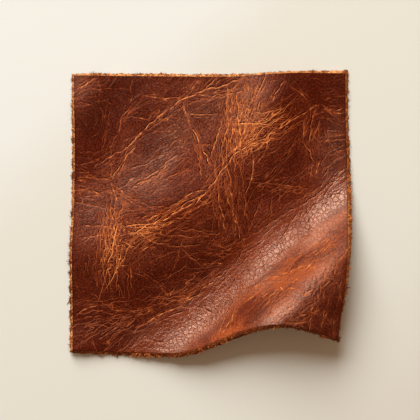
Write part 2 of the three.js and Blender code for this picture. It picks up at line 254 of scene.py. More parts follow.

# Soft oval patches, their angle in degrees from +X. Tone is how much lighter (above nothing) or darker (below
# nothing) the grain side is coloured there: partly the wax worn thin or lying thick, partly painted light and
# shade.
Patch = namedtuple("Patch", "x y length width angle amount")
TONE_AND_LIGHT_PATCHES = table(
    Patch,
    (14, 39, 15, 6.5, 90, 0.95), (11, 22, 9, 5, 60, 0.1), (3, 13, 12, 5, 50, -0.25),
    (-21, -4, 11, 4.5, 18, 0.58), (-36, -6, 15, 4.5, 95, 0.42), (-36, -20, 7, 5, 90, 0.2),
    (-20, 14, 17, 7, 33, 0.15), (-3, 46, 10, 4.5, 20, 0.3), (-48, 46, 8, 5, 60, 0.25),
    (-45, 4, 8, 9, 0, 0.2), (-37, 17, 9, 5, 60, 0.3), (26, 31, 12, 3.5, 38, 0.25),
    (-35, -42, 16, 6, 2, -0.95), (9, -1, 9, 5, 100, 0.05), (-42, 27, 13, 7, 65, -1),
    (-34, 44, 9, 7, 0, -0.4), (-25, 25, 8, 4, 45, -0.2), (43, 47, 10, 6, 0, -1.5),
    (28, 46, 9, 3.5, 75, -0.7), (26, 16, 12, 7, 40, -0.75), (-12, -25, 11, 5, 28, -0.85),
    (-28, -28, 15, 6, 15, -1.2), (3, -16, 8, 5, 20, -0.5), (-46, -22, 9, 5, 90, -0.7),
    (-4, -11, 9, 4, 10, -0.05), (-4, -26, 8, 5, 35, -0.3), (43, -41, 6, 6, 0, 0.35),
    (43, -33, 4, 4, 0, -0.7), (31, -34, 8, 3, 35, 0.2), (43, -20, 6, 4, 40, 0.2),
    (-28, -12, 7, 6, 20, 0.55), (17, 29, 7, 5, 40, -0.4), (8, -7, 8, 5, 45, -0.2), (43, -7, 9, 3, 28, 0.3),
    (34, -16, 13, 3, 30, -0.85), (28, -23, 12, 4, 36, 0.35), (19, -35, 7, 4, 50, -0.5),
    (-45, 19, 6, 5, 0, -0.7), (-22, 38, 10, 6, 30, -0.35), (-28, 13, 6, 5, 40, 0.3),
    (-10, 28, 9, 6, 45, 0.15), (1, 37, 6, 5, 90, 0.25), (-21, 3, 12, 5, 20, -0.4), (31, 38, 9, 5, 0, -0.5),
    (36, 24, 7, 6, 60, 0.35), (-24, -35, 9, 4, 20, -0.75), (13, -14, 7, 4, 45, -0.4),
    (-20, -9, 5, 3.5, 20, -0.35), (36, -10, 7, 3, 35, 0.3), (-20, -17, 6, 4, 20, 0.35),
    (43, 38, 7, 5, 0, -0.35), (-36, 4, 6, 5, 0, -0.2), (27, -2, 5, 4, 30, -0.3), (-4, 25, 8, 5, 80, 0.25),
    (12, -30, 7, 4, 50, 0.3), (11, -17, 5, 4, 40, -0.3), (-13, -17, 6, 4, 20, -0.35),
    (-29, 47, 7, 4, 0, -0.5), (-37, -49, 8, 3, 0, -0.35), (44, -26, 5, 5, 60, 0.3),
    (29, -39, 10, 3, 5, 0.5), (-13, -1, 5, 4, 20, -0.3), (-13, -9, 5, 4, 20, 0.3),
    (-13, -25, 5, 4, 20, -0.25), (-28, -48, 9, 3, 0, -0.35), (27, 31, 5, 4, 38, -0.25),
    (-29, 47, 6, 4, 0, -0.3),
)
# Where the wax has cracked into a dense mesh of short creases.
CRACKED_PATCHES = table(
    Patch,
    (-37, -19, 9, 7, 90, 0.8), (-36, -9, 8, 5, 90, 0.8), (12, 31, 12, 7, 75, 0.9), (23, 33, 9, 5, 38, 0.9),
    (9, 23, 10, 7, 50, 0.55), (2, 13, 10, 5, 50, 0.4), (-20, -5, 11, 5, 20, 0.9),
    (-36, -40, 14, 7, 5, 0.25), (-40, -46, 12, 6, 0, 0.2), (-33, 2, 8, 6, 0, 0.5),
    (6, -5, 10, 6, 100, 0.35), (18, 10, 9, 5, 10, 0.25), (-12, -28, 12, 6, 35, 0.5),
)
# Where the wax is polished brighter, or duller.
SHEEN_PATCHES = table(
    Patch,
    (44, 4, 10, 8, 38, 0.36), (40, -7, 8, 3, 38, 0.3), (33, -6, 5, 3.5, 60, -0.3),
    (45, 22, 14, 6, 90, 0.75), (-14, -1, 12, 5, 20, -0.2), (-9, 19, 9, 6, 50, -0.25),
    (-20, 20, 14, 7, 35, 0.6), (-11, 31, 11, 5.5, 50, 0.45), (2, 38, 6, 6, 90, 0.5),
    (-44, 37, 8, 6, 60, 0.5), (16, 40, 8, 7, 80, 0.35), (28, 35, 8, 8, 0, -0.25),
    (-42, -10, 8, 6, 90, 0.15), (-22, -14, 12, 6, 10, 0.2), (13, -15, 8, 5, 45, -0.45),
    (21, -14, 7, 6, 38, 0.2), (10, -23, 5, 5, 38, -0.2), (-6, -38, 12, 7, 40, 0.25),
    (32, -34, 12, 5, 40, 0.55), (43, -25, 8, 5, 60, 0.9), (19, -25, 6, 4, 38, 0.25),
    (-45, -1, 5, 5, 0, 0.25), (29, -38, 9, 3.5, 5, 0.8), (-27, -43, 12, 5, 0, 0.2),
    (-42, 26, 10, 7, 65, -0.2), (43, 44, 9, 7, 0, -0.1), (35, 6, 7, 5, 20, -0.25),
    (36, -10, 6, 3.5, 35, 0.3), (-44, 5, 6, 5, 0, 0.2), (-28, 12, 7, 5, 35, 0.15),
    (-30, -34, 9, 4, 0, -0.15), (-3, 27, 10, 5, 80, -0.05),
)
# Bunches of short side-by-side strokes, by their middle, heading in degrees and how far that strays.
Hatch = namedtuple("Hatch", "x y reach heading stray count length strength")
HATCHES = table(
    Hatch,
    (40, -20, 5.5, 95, 10, 50, 3.2, 0.4), (35, -28, 5, 85, 10, 45, 3.2, 0.4),
    (31, -33, 3.5, 75, 14, 25, 2.6, 0.35), (44, -12, 4, 105, 12, 25, 2.6, 0.35),
    (38, -36, 4, 85, 25, 18, 3.4, 0.4), (30, -22, 7, 38, 9, 44, 5.5, 0.5),
    (40, -13, 6, 38, 9, 32, 5.5, 0.5), (21, -31, 6, 42, 12, 28, 5.5, 0.5),
    (42, -30, 4, 60, 25, 14, 3.4, 0.35), (14, 30, 6, 88, 12, 26, 5, 0.5), (8, 40, 5, 90, 10, 22, 5, 0.4),
    (0, -30, 5, 25, 14, 18, 4.6, 0.35), (-46, 12, 3.5, 2, 10, 16, 4.4, 0.45),
    (45, 22, 4.5, 25, 14, 16, 4, 0.28), (44, 38, 4, 0, 25, 14, 4, 0.35), (15, -26, 5, 30, 12, 14, 5, 0.35),
    (33, -20, 5, 30, 10, 16, 5, 0.35),
)

# ---- Curves and noise ------------------------------------------------------------------------------


def catmull_rom(rows, steps=48):
    """A smooth curve through the rows, with the spacing that keeps it from overshooting."""
    points = np.array(rows, float)
    before = 2 * points[0] - points[1]
    after = 2 * points[-1] - points[-2]
    knots = np.vstack([before, points, after])
    t = np.linspace(0, 1, steps, endpoint=False)[:, None]
    pieces = []
    for p0, p1, p2, p3 in zip(knots, knots[1:], knots[2:], knots[3:]):
        d0, d1, d2 = (math.sqrt(np.linalg.norm(b - a)) for a, b in ((p0, p1), (p1, p2), (p2, p3)))
        m1 = ((p1 - p0) / d0 - (p2 - p0) / (d0 + d1) + (p2 - p1) / d1) * d1
        m2 = ((p2 - p1) / d1 - (p3 - p1) / (d1 + d2) + (p3 - p2) / d2) * d1
        pieces.append(
            p1 + m1 * t + (3 * (p2 - p1) - 2 * m1 - m2) * t**2 + (2 * (p1 - p2) + m1 + m2) * t**3
        )
    return np.vstack(pieces + [points[-1:]])


def by_length(curve):
    """The curve as a function that gives its point at each share of its length."""
    along = np.append(0, np.cumsum(np.linalg.norm(np.diff(curve, axis=0), axis=1)))
    along /= along[-1]
    return lambda share: np.stack([np.interp(share, along, curve[:, axis]) for axis in (0, 1)], -1)


EDGES = {
    name: by_length(catmull_rom(rows))
    for name, rows in (
        ("front", FRONT_EDGE), ("right", RIGHT_EDGE), ("back", BACK_EDGE), ("left", LEFT_EDGE),
    )
}


def plan_place(u, v):
    """A point of the leather seen from above: u from the left edge to the right, v from front to back."""
    across, deep = u[..., None], v[..., None]
    front, back = EDGES["front"](u), EDGES["back"](u)
    left, right = EDGES["left"](v), EDGES["right"](v)
    corners = (
        (1 - across) * (1 - deep) * np.array(FRONT_EDGE[0])
        + across * (1 - deep) * np.array(FRONT_EDGE[-1])
        + (1 - across) * deep * np.array(BACK_EDGE[0])
        + across * deep * np.array(BACK_EDGE[-1])
    )
    return (1 - deep) * front + deep * back + (1 - across) * left + across * right - corners


def flat_place(x, y):
    """Where a place seen from above is on the flat square, found by closing in on it."""
    target = np.stack([x, y], -1)
    uv = target / FLAT_SIDE + 0.5
    for _ in range(12):
        uv = uv + (target - plan_place(uv[..., 0], uv[..., 1])) / FLAT_SIDE
    return uv * FLAT_SIDE


def climb(t):
    """From 0 to 1 with a long gentle foot, steepest two thirds of the way along."""
    t = np.clip(t, 0, 1)
    return t**3 * (4 - 3 * t)


def smooth(t):
    """From 0 to 1, level at both ends."""
    t = np.clip(t, 0, 1)
    return t**2 * (3 - 2 * t)


def wave_section(along):
    """The wave's start, crest and rise at each place along its folds."""
    sections = np.array(WAVE_SECTIONS, float)
    after = np.clip(np.searchsorted(sections[:, 0], along, side="right"), 1, len(sections) - 1)
    a, b = sections[after - 1], sections[after]
    share = smooth((along - a[..., 0]) / (b[..., 0] - a[..., 0]))
    return [a[..., column] + (b[..., column] - a[..., column]) * share for column in (1, 2, 3)]


def fold_places(x, y):
    """How far each place is along the fold lines and across them."""
    along = x * math.cos(FOLD_ANGLE) + y * math.sin(FOLD_ANGLE)
    across = x * math.sin(FOLD_ANGLE) - y * math.cos(FOLD_ANGLE)
    return along, across


def wave_height(x, y):
    """How high the wave is at each place, from its start over its crest and down again."""
    along, across = fold_places(x, y)
    start, crest, rise = wave_section(along)
    near = rise * climb((across - start) / (crest - start))
    far = rise * (1 + np.cos(math.pi * np.clip((across - crest) / WAVE_FALL, 0, 1))) / 2
    return np.where(across < crest, near, far)


def oval_places(oval, x, y):
    """How far along and across an oval each place is, as shares of its length and width."""
    turn = math.radians(oval.angle)
    dx, dy = x - oval.x, y - oval.y
    lengthwise = (dx * math.cos(turn) + dy * math.sin(turn)) / oval.length
    widthwise = (dy * math.cos(turn) - dx * math.sin(turn)) / oval.width
    return lengthwise, widthwise


def lie_height(x, y):
    """How high the flesh side lies over the resting surface."""
    height = wave_height(x, y)
    for swell in SWELLS:
        lengthwise, widthwise = oval_places(swell, x, y)
        height = height + swell.height * np.maximum(0, 1 - lengthwise**2 - widthwise**2) ** 3
    return height


def one_long(vectors):
    """The vectors made one long each."""
    return vectors / np.linalg.norm(vectors, axis=-1, keepdims=True)


def lie_normal(x, y, step=0.05):
    """Which way the flesh side's surface faces at each place."""
    slope_x = (lie_height(x + step, y) - lie_height(x - step, y)) / (2 * step)
    slope_y = (lie_height(x, y + step) - lie_height(x, y - step)) / (2 * step)
    return one_long(np.stack([-slope_x, -slope_y, np.ones_like(slope_x)], -1))


NOISE_SIDE = 64  # cells along each side of the noise's grid, which repeats beyond them
NOISE_SPOT = (17.3, 29.1)  # the cell that lies at the origin


def soft_noise(x, y, cell, seed):
    """Smooth noise from -1 to 1 with bumps about one cell wide, the same on every run."""
    grid = np.random.default_rng(seed).uniform(-1, 1, (NOISE_SIDE, NOISE_SIDE))
    gx, gy = x / cell + NOISE_SPOT[0], y / cell + NOISE_SPOT[1]
    ix, iy = np.floor(gx).astype(int), np.floor(gy).astype(int)
    fx, fy = smooth(gx - ix), smooth(gy - iy)
    corner = lambda dx, dy: grid[(iy + dy) % NOISE_SIDE, (ix + dx) % NOISE_SIDE]
    low = corner(0, 0) * (1 - fx) + corner(1, 0) * fx
    high = corner(0, 1) * (1 - fx) + corner(1, 1) * fx
    return low * (1 - fy) + high * fy


# ---- Creasing --------------------------------------------------------------------------------------

CREASE_SEED = 22
STRAND_STEP = 0.6
STROKE_STEP = 0.5
LEAST_SPREAD = 0.45  # what a bundle's own spread is added to
STRAND_PITCH = 1.2  # times both together, how far apart the strands of a bundle run
STRAND_FADE = 1.8  # how long the fading end of a strand is
STRAND_WAVES = ((9, 0.26), (4.0, 0.15), (1.8, 0.06))  # how long each wave of a strand is, and its usual swing
SHOOT_CHANCE = 0.06  # for each step along a strand
CROSSING_CHANCE = 0.16  # for each loose stroke, of running across the creases around it
CROSSING_TURN = 1.2
CREASE_REACH = 1.3  # how far from a strand the leather still knows of it
CREASE_LAYERS = 3  # neighbouring strands are kept apart in layers, so that each line stays clean
FORCE_LEAD = 0.45  # how much nearer a full strand counts than one without strength
PART_STEPS = 8  # how many steps of a strand are pressed at a time
LIE_REACH = 7.0  # how far a main crease leads the loose strokes around it
# The side of a crease taken as its lower right: painted light is put along that side and painted shade along
# the other.
LOWER_RIGHT = np.array([1.0, -1.0]) / math.sqrt(2)
HAIR_WAYS = (36, 95, 2)  # the headings, in degrees, of the three sets of hair creases
HAIR_CELL = (0.0115, 0.0016, 0.01)  # in metres, how far they run, and about twice their pitch
STREAK_CELL = (0.016, 0.003, 0.01)  # the streaks where the wave is pulled taut, the same way

# The loose strokes: how many, their usual length and how far that varies, and their strength.
Loose = namedtuple("Loose", "count length vary strength")
LOOSE_STROKES = table(
    Loose, (110, 18.0, 6.0, 0.4), (300, 10.0, 5.0, 0.3), (600, 4.5, 2.5, 0.22), (1700, 2.6, 1.0, 0.19)
)


def strand_route(crease, number, rng):
    """One strand of a bundle: its points seen from above, and how strong it is at each."""
    start, end = np.array([crease.x0, crease.y0]), np.array([crease.x1, crease.y1])
    run = end - start
    length = np.linalg.norm(run)
    side = np.array([-run[1], run[0]]) / length
    leading = number == 0
    share = 1.0 if leading else rng.uniform(0.4, 0.95)
    first = rng.uniform(0, 1 - share)
    t = np.linspace(first, first + share, max(5, int(length * share / STRAND_STEP)))
    place = (number + 1) // 2 * (-1) ** number * STRAND_PITCH * (LEAST_SPREAD + crease.spread)
    wander = place + rng.normal(0, 0.12 if leading else 0.3, 2)
    drift = np.interp(t, [first, first + share], wander)
    for wave, swing in STRAND_WAVES:
        drift += rng.normal(0, swing) * np.sin(2 * math.pi * (length / wave * t + rng.uniform()))
    bowed = 4 * crease.bow * t * (1 - t) + drift
    points = start + run * t[:, None] + side * bowed[:, None]
    ends = np.clip(np.minimum(t - first, first + share - t) * length / STRAND_FADE, 0, 1)
    uneven = 0.8 + 0.2 * np.sin(2 * math.pi * (length / 3.5 * t + rng.uniform()))
    weight = 1.0 if leading else rng.uniform(0.3, 0.75)
    return points, crease.strength * weight * ends**0.6 * uneven


def stroke_route(x, y, angle, length, strength, rng):
    """One short loose stroke, slightly bent, fading to both ends."""
    t = np.linspace(-0.5, 0.5, max(4, int(length / STROKE_STEP)))
    bend = rng.normal(0, 0.12) * math.sqrt(length + 8)
    ripple = rng.normal(0, 0.2) * np.sin(2 * math.pi * (length / 3 * t + rng.uniform()))
    headings = angle + bend * t + ripple
    steps = np.stack([np.cos(headings), np.sin(headings)], -1) * (length / (len(t) - 1))
    points = np.array([x, y]) + np.cumsum(steps, axis=0) - steps.sum(axis=0) / 2
    return points, strength * np.clip((0.5 - np.abs(t)) * 4, 0, 1)


def lie_angles(x, y):
    """The way that the main creases run around each place."""
    double = np.zeros(x.shape + (2,))
    for crease in CREASES:
        angle = 2 * math.atan2(crease.y1 - crease.y0, crease.x1 - crease.x0)
        t = np.linspace(0.1, 0.9, 5)
        px = crease.x0 + (crease.x1 - crease.x0) * t
        py = crease.y0 + (crease.y1 - crease.y0) * t
        gap = np.min(np.hypot(x[:, None] - px, y[:, None] - py), axis=1)
        weight = crease.strength * np.exp(-((gap / LIE_REACH) ** 2))
        double += weight[:, None] * np.array([math.cos(angle), math.sin(angle)])
    return np.arctan2(double[:, 1], double[:, 0]) / 2


def patch_sum(rows, x, y):
    """What soft patches add up to at each place."""
    total = np.zeros_like(x)
    for row in rows:
        lengthwise, widthwise = oval_places(row, x, y)
        total = total + row.amount * np.exp(-(lengthwise**2) - widthwise**2)
    return total


def bundle_strands(rng):
    """The strands of the main creases, and the shoots that leave them."""
    for crease in CREASES:
        for number in range(crease.strands):
            points, strength = strand_route(crease, number, rng)
            tone = patch_sum(TONE_AND_LIGHT_PATCHES, points[:, 0], points[:, 1])
            strength = strength * np.clip(0.9 + 0.45 * tone, 0.5, 1.05)
            yield points, strength
            for index in range(1, len(points) - 1):
                if rng.uniform() > SHOOT_CHANCE:
                    continue
                heading = math.atan2(*(points[index + 1] - points[index - 1])[::-1])
                turn = rng.choice((-1, 1)) * rng.uniform(0.1, 0.35)
                length = rng.uniform(1.5, 6.5)
                yield stroke_route(*points[index], heading + turn, length, strength[index] * 0.5, rng)


def loose_strands(rng):
    """Faint strokes everywhere, most of them along the main creases around them."""
    for loose in LOOSE_STROKES:
        x, y = rng.uniform(-50, 50, loose.count), rng.uniform(-50, 51, loose.count)
        lie = lie_angles(x, y)
        cracked = np.clip(patch_sum(CRACKED_PATCHES, x, y), 0, 1)
        rubbed = np.clip(1 + 0.6 * patch_sum(TONE_AND_LIGHT_PATCHES, x, y), 0.35, 1.3)
        calm = (1 - 0.6 * stretched(x, y)) * rubbed
        for index in range(loose.count):
            crossing = rng.choice((-1, 1)) * CROSSING_TURN if rng.uniform() < CROSSING_CHANCE else 0
            angle = lie[index] + rng.normal(0, 0.2) + crossing
            length = max(1.2, loose.length + rng.normal(0, 0.6) * loose.vary)
            strength = loose.strength * (0.7 + 0.6 * cracked[index]) * rng.uniform(0.5, 1.6) * calm[index]
            yield stroke_route(x[index], y[index], angle, length, strength, rng)


def hatch_strands(rng):
    """The short side-by-side strokes of each hatch."""
    for hatch in HATCHES:
        for _ in range(hatch.count):
            spot = rng.normal(0, hatch.reach * 0.6, 2) + (hatch.x, hatch.y)
            angle = math.radians(hatch.heading + rng.normal(0, hatch.stray))
            length = hatch.length * rng.uniform(0.5, 1.6)
            yield stroke_route(*spot, angle, length, hatch.strength * rng.uniform(0.4, 1.0), rng)


def press_creases(cells):
    """The creases on a grid over the flat square, in layers.

    For each layer and point: how far the nearest strand is, more than nothing on the strand's lower right
    side and less than nothing on its upper left, and how strong that strand is there.
    """
    gaps = np.full((CREASE_LAYERS, cells + 1, cells + 1), CREASE_REACH)
    ranks = np.full_like(gaps, CREASE_REACH)
    forces = np.zeros_like(gaps)
    cell = FLAT_SIDE / cells
    rng = np.random.default_rng(CREASE_SEED)
    strands = (*bundle_strands(rng), *loose_strands(rng), *hatch_strands(rng))
    for number, (points, strength) in enumerate(strands):
        gap, rank, force = (grids[number % CREASE_LAYERS] for grids in (gaps, ranks, forces))
        flat = flat_place(points[:, 0], points[:, 1])
        for first in range(0, len(flat) - 1, PART_STEPS):
            part = flat[first : first + PART_STEPS + 1]
            low = np.maximum(np.floor((part.min(0) - CREASE_REACH) / cell).astype(int), 0)
            high = np.minimum(np.ceil((part.max(0) + CREASE_REACH) / cell).astype(int), cells) + 1
            if (high <= low).any():
                continue
            gx, gy = np.meshgrid(np.arange(low[0], high[0]) * cell, np.arange(low[1], high[1]) * cell)
            spot = np.stack([gx, gy], -1)[None]
            a, b = part[:-1, None, None], part[1:, None, None]
            run = b - a
            t = np.clip(((spot - a) * run).sum(-1) / np.maximum((run**2).sum(-1), 1e-9), 0, 1)
            offset = spot - a - t[..., None] * run
            across = np.stack([run[..., 1], -run[..., 0]], -1)
            across = across * np.where(across @ LOWER_RIGHT < 0, -1, 1)[..., None]
            side = np.where((offset * across).sum(-1) < 0, -1, 1)
            away = np.linalg.norm(offset, axis=-1)
            here = strength[first : first + PART_STEPS + 1][:, None, None]
            weight = here[:-1] + (here[1:] - here[:-1]) * t
            order = away + FORCE_LEAD * (1 - weight)
            best = order.argmin(axis=0)[None]
            order, away, side, weight = (
                np.take_along_axis(values, best, axis=0)[0] for values in (order, away, side, weight)
            )
            window = (slice(low[1], high[1]), slice(low[0], high[0]))
            nearer = (order < rank[window]) & (away < CREASE_REACH)
            rank[window] = np.where(nearer, order, rank[window])
            gap[window] = np.where(nearer, away * side, gap[window])
            force[window] = np.where(nearer, weight, force[window])
    return gaps, forces


def wave_share(x, y):
    """How far up the wave each place is, from nothing at its start to one at its crest."""
    along, across = fold_places(x, y)
    start, crest, _ = wave_section(along)
    return (across - start) / (crest - start)


def stretched(x, y):
    """Where the wave pulls the grain side taut and lightens it, from 0 to 1."""
    share = wave_share(x, y)
    return smooth((share - 0.42) / 0.2) * (1 - smooth((share - 0.8) / 0.34))


# How light the cut is painted at each edge: dark at the front, half at the right, full at the back and left,
# a painted shade on the sides away from the lights.
CUT_PAINTED_LIGHT = (0.0, 0.5, 1.0, 1.0)  # at the front, right, back and left edge, as are the next two
FIBRE_LENGTHS = (1.0, 1.0, 0.65, 1.0)
# How much darker the fibres are made at each edge: at the front as painted shade, at the back and left for
# their darker tufts.
FIBRE_PALENESS = (-0.2, 0.0, -0.1, -0.15)


def painted_cut_light(u, v):
    """How light the cut of the nearest edge is painted, from 0 to 1, darker at the front and right as painted
    shade; u and v are shares of the flat square.
    """
    nearest = np.argmin([v, 1 - u, 1 - v, u], axis=0)
    return np.choose(nearest, CUT_PAINTED_LIGHT)


def pebbled(x, y):
    """Where the foot of the wave swells the grain into plump cushions, from 0 to 1."""
    share = wave_share(x, y)
    return smooth((share - 0.06) / 0.16) * (1 - smooth((share - 0.46) / 0.14))


# ---- Meshes ----------------------------------------------------------------------------------------


def new_object(name, mesh):
    obj = bpy.data.objects.new(name, mesh)
    bpy.context.scene.collection.objects.link(obj)
    return obj


# The map: its empty rim, the sides of the grain and flesh squares, where what lies beside the grain
# starts, how far apart the strips of the four walls are, and how wide each is.
MAP_EDGE, MAP_GRAIN, MAP_FLESH, MAP_NEXT, MAP_STRIP, MAP_WALL = 0.01, 0.84, 0.12, 0.87, 0.03, 0.02

WALL_ROWS = 3  # rows of faces up each wall of the cut
CREASE_WIDTH = 0.4
SURFACE_WAVES = ((6.0, 0.10, 3), (2.6, 0.04, 4), (1.2, 0.012, 5))  # size, height and seed of each
TONE_CLOUDS = ((9, 0.18, 6), (4, 0.12, 7))  # size, amount and seed of each
RIM_DARKENING, RIM_DARKENING_REACH = 0.55, 0.7  # how much darker the grain side is made at the very edge, and how far in


def inside_cut(u, v, level, sizes):
    """The places drawn in from the edges by the slant of the cut, more towards the grain side."""
    inset = sizes.cut_slant / MM * level / FLAT_SIDE
    return inset + u * (1 - 2 * inset), inset + v * (1 - 2 * inset)


def is_rim(edge):
    """Whether the edge runs round the outside of the blank."""
    return any(all(abs(abs(v.co[axis]) - 0.5) < 1e-5 for v in edge.verts) for axis in (0, 1))


def put_in_order(blank, fine):
    """Puts vertices and faces in the order of their places, so that it is the same on every run."""
    # so fine that the middles of squares and of triangles are at whole numbers too
    parts = 6 * fine

    def rank(place):
        x, y, z = (round((value + 1) * parts) for value in place)
        return (z * 2 * parts + y) * 2 * parts + x

    blank.verts.sort(key=lambda vertex: rank(vertex.co))
    blank.faces.sort(key=lambda face: rank(face.calc_center_median()))


def sheet_blank(cells, cuts):
    """A closed slab one unit square and one deep, its flesh side divided less finely than the rest."""
    blank = bmesh.new()
    bmesh.ops.create_grid(blank, x_segments=cells, y_segments=cells, size=0.5)
    bmesh.ops.solidify(blank, geom=list(blank.faces), thickness=1.0)
    upright = [e for e in blank.edges if abs(e.verts[0].co.z - e.verts[1].co.z) > 0.5]
    bmesh.ops.subdivide_edges(blank, edges=upright, cuts=WALL_ROWS - 1)
    level = [e for e in blank.edges if abs(e.verts[0].co.z - e.verts[1].co.z) < 0.01]
    upper = [e for e in level if e.verts[0].co.z > -0.01 or is_rim(e)]
    bmesh.ops.subdivide_edges(blank, edges=upper, cuts=cuts, use_grid_fill=True)
    bmesh.ops.triangulate(blank, faces=[f for f in blank.faces if len(f.verts) > 4])
    put_in_order(blank, cells * (cuts + 1))
    return blank


def read_values(items, name, kind=np.int32, width=1):
    """One value of each item as a list, or a few of each one after another."""
    values = np.zeros(len(items) * width, kind)
    items.foreach_get(name, values)
    return values


def vertex_places(mesh):
    """Where the mesh's vertices are, one row each."""
    return read_values(mesh.vertices, "co", np.float32, 3).reshape(-1, 3).astype(float)


def write_attribute(mesh, name, values):
    """Keeps one number for each vertex under a name that the materials read."""
    attribute = mesh.attributes.new(name, "FLOAT", "POINT")
    attribute.data.foreach_set("value", np.asarray(values, np.float32).ravel())


def lay_out_map(mesh, u, v, level):
    """Unfolds the sheet: the grain side takes most of the map, the flesh side and the walls the rest."""
    loops = read_values(mesh.loops, "vertex_index")
    starts = read_values(mesh.polygons, "loop_start")
    totals = read_values(mesh.polygons, "loop_total")
    face = np.repeat(np.arange(len(starts)), totals)
    face = face[np.argsort(np.repeat(starts, totals), kind="stable")]
    lowest = np.minimum.reduceat(level[loops], starts)
    highest = np.maximum.reduceat(level[loops], starts)
    lu, lv, ll = u[loops], v[loops], level[loops]
    place = np.stack([MAP_EDGE + MAP_GRAIN * lu, MAP_EDGE + MAP_GRAIN * lv], -1)
    flesh = highest[face] < 0.01
    place[flesh] = np.stack([MAP_NEXT + MAP_FLESH * lu, MAP_EDGE + MAP_FLESH * lv], -1)[flesh]
    wall = (~flesh) & (lowest[face] < 0.99)
    middle_u = np.add.reduceat(u[loops], starts) / totals
    middle_v = np.add.reduceat(v[loops], starts) / totals
    reach = np.stack([middle_v, 1 - middle_u, 1 - middle_v, middle_u], -1)[face]
    which = reach.argmin(-1)
    run = np.where(which % 2 == 0, lu, lv)
    strip = np.stack([MAP_EDGE + MAP_GRAIN * run, MAP_NEXT + MAP_STRIP * which + MAP_WALL * ll], -1)
    place[wall] = strip[wall]
    layer = mesh.uv_layers.new(name="OFBake")
    layer.data.foreach_set("uv", place.astype(np.float32).ravel())


def cut_sheet(sizes, materials):
    """The leather itself, in metres: blank, lie, creases, grain swell and edge."""
    cells, cuts = sizes.coarse_cells, sizes.fine_cuts
    blank = sheet_blank(cells, cuts)
    mesh = bpy.data.meshes.new("leather_sheet")
    blank.to_mesh(mesh)
    blank.free()

    # where each vertex is on the blank, exactly on the grid that it was cut by
    fine = cells * (cuts + 1)
    steps = np.array([fine, fine, WALL_ROWS])
    u, v, level = (np.rint((vertex_places(mesh) + (0.5, 0.5, 1)) * steps) / steps).T

    gap_grid, force_grid = press_creases(fine)
    column, row = np.rint(u * fine).astype(int), np.rint(v * fine).astype(int)
    on_grain = level > 0.99
    gaps = gap_grid[:, row, column]
    forces = np.where(on_grain, force_grid[:, row, column], 0)
    crease = np.max(forces * np.exp(-((gaps / CREASE_WIDTH) ** 2)), axis=0)

    x, y = plan_place(*inside_cut(u, v, level, sizes)).T
    normal = lie_normal(x, y)
    edge_gap = np.minimum(np.minimum(u, 1 - u), np.minimum(v, 1 - v)) * FLAT_SIDE
    calm = 1 - 0.7 * stretched(x, y)

    swell = sum(height * soft_noise(x, y, size, seed) for size, height, seed in SURFACE_WAVES)
    relief = np.where(on_grain, swell * calm - sizes.crease_depth / MM * crease, 0)
    raised = sizes.thickness / MM * level + relief
    place = np.column_stack([x, y, lie_height(x, y)]) + normal * raised[:, None]

    # the cut is ragged along its length, and most of all at the flesh side
    rim = edge_gap < 0.01
    ragged = soft_noise(x + 3 * level, y, 1.6, 8) * 0.1 + soft_noise(x, y + 2 * level, 0.5, 9) * 0.34
    ragged = (ragged + 0.1) * np.clip(1.15 - level, 0, 1) * (level < 0.99)
    outward = np.column_stack([u, v]) - 0.5
    outward *= np.abs(outward) > 0.499
    place[rim, :2] += outward[rim] * 2 * ragged[rim, None]
    place[:, 2] = np.maximum(place[:, 2], 0)

    mesh.vertices.foreach_set("co", (place * MM).astype(np.float32).ravel())
    tone = patch_sum(TONE_AND_LIGHT_PATCHES, x, y) - RIM_DARKENING * np.exp(-((edge_gap / RIM_DARKENING_REACH) ** 2))
    for size, amount, seed in TONE_CLOUDS:
        tone += amount * soft_noise(x, y, size, seed)
    for layer in range(CREASE_LAYERS):
        write_attribute(mesh, f"gap_{layer}", gaps[layer])
        write_attribute(mesh, f"near_{layer}", np.abs(gaps[layer]))
        write_attribute(mesh, f"force_{layer}", forces[layer])
    write_attribute(mesh, "cracked", np.clip(patch_sum(CRACKED_PATCHES, x, y), 0, 1))
    lie = lie_angles(x, y)
    for number, way in enumerate(HAIR_WAYS):
        along_lie = np.clip(np.cos(2 * (lie - math.radians(way))), 0, 1)
        write_attribute(mesh, f"hair_{number}", 0.2 + 0.8 * along_lie)
    write_attribute(mesh, "pulled", stretched(x, y))
    write_attribute(mesh, "pebbled", pebbled(x, y))
    write_attribute(mesh, "tone", np.clip(tone, -1, 1) / 2 + 0.5)
    write_attribute(mesh, "sheen", np.clip(0.25 + patch_sum(SHEEN_PATCHES, x, y), 0, 1))
    write_attribute(mesh, "paler", painted_cut_light(u, v))
    lay_out_map(mesh, u, v, level)

    for material in materials:
        mesh.materials.append(material)
    corner_levels = level[read_values(mesh.loops, "vertex_index")]
    suede = np.minimum.reduceat(corner_levels, read_values(mesh.polygons, "loop_start")) < 0.99
    mesh.polygons.foreach_set("material_index", suede.astype(np.int32))
    mesh.polygons.foreach_set("use_smooth", np.ones(len(mesh.polygons), bool))
    mesh.update()
    return new_object("leather_sheet", mesh)


FIBRE_SEED = 31
KNOT_CHANCE = 0.75  # for each fibre, of standing in a knot
KNOT_SPREAD = 0.24
FIBRE_ROOT = 0.12  # how far inside the cut a fibre starts


def fibre_blank(doublings):
    """Upright tapered fibres, one unit long and on top of each other, 2 ** doublings of them."""
    blank = bmesh.new()
    bmesh.ops.create_cone(blank, cap_ends=True, segments=3, radius1=1.0, radius2=0.3, depth=1.0)
    upright = [e for e in blank.edges if abs(e.verts[0].co.z - e.verts[1].co.z) > 0.5]
    bmesh.ops.subdivide_edges(blank, edges=upright, cuts=1)
    for _ in range(doublings):
        bmesh.ops.duplicate(blank, geom=blank.verts[:] + blank.edges[:] + blank.faces[:])
    return blank


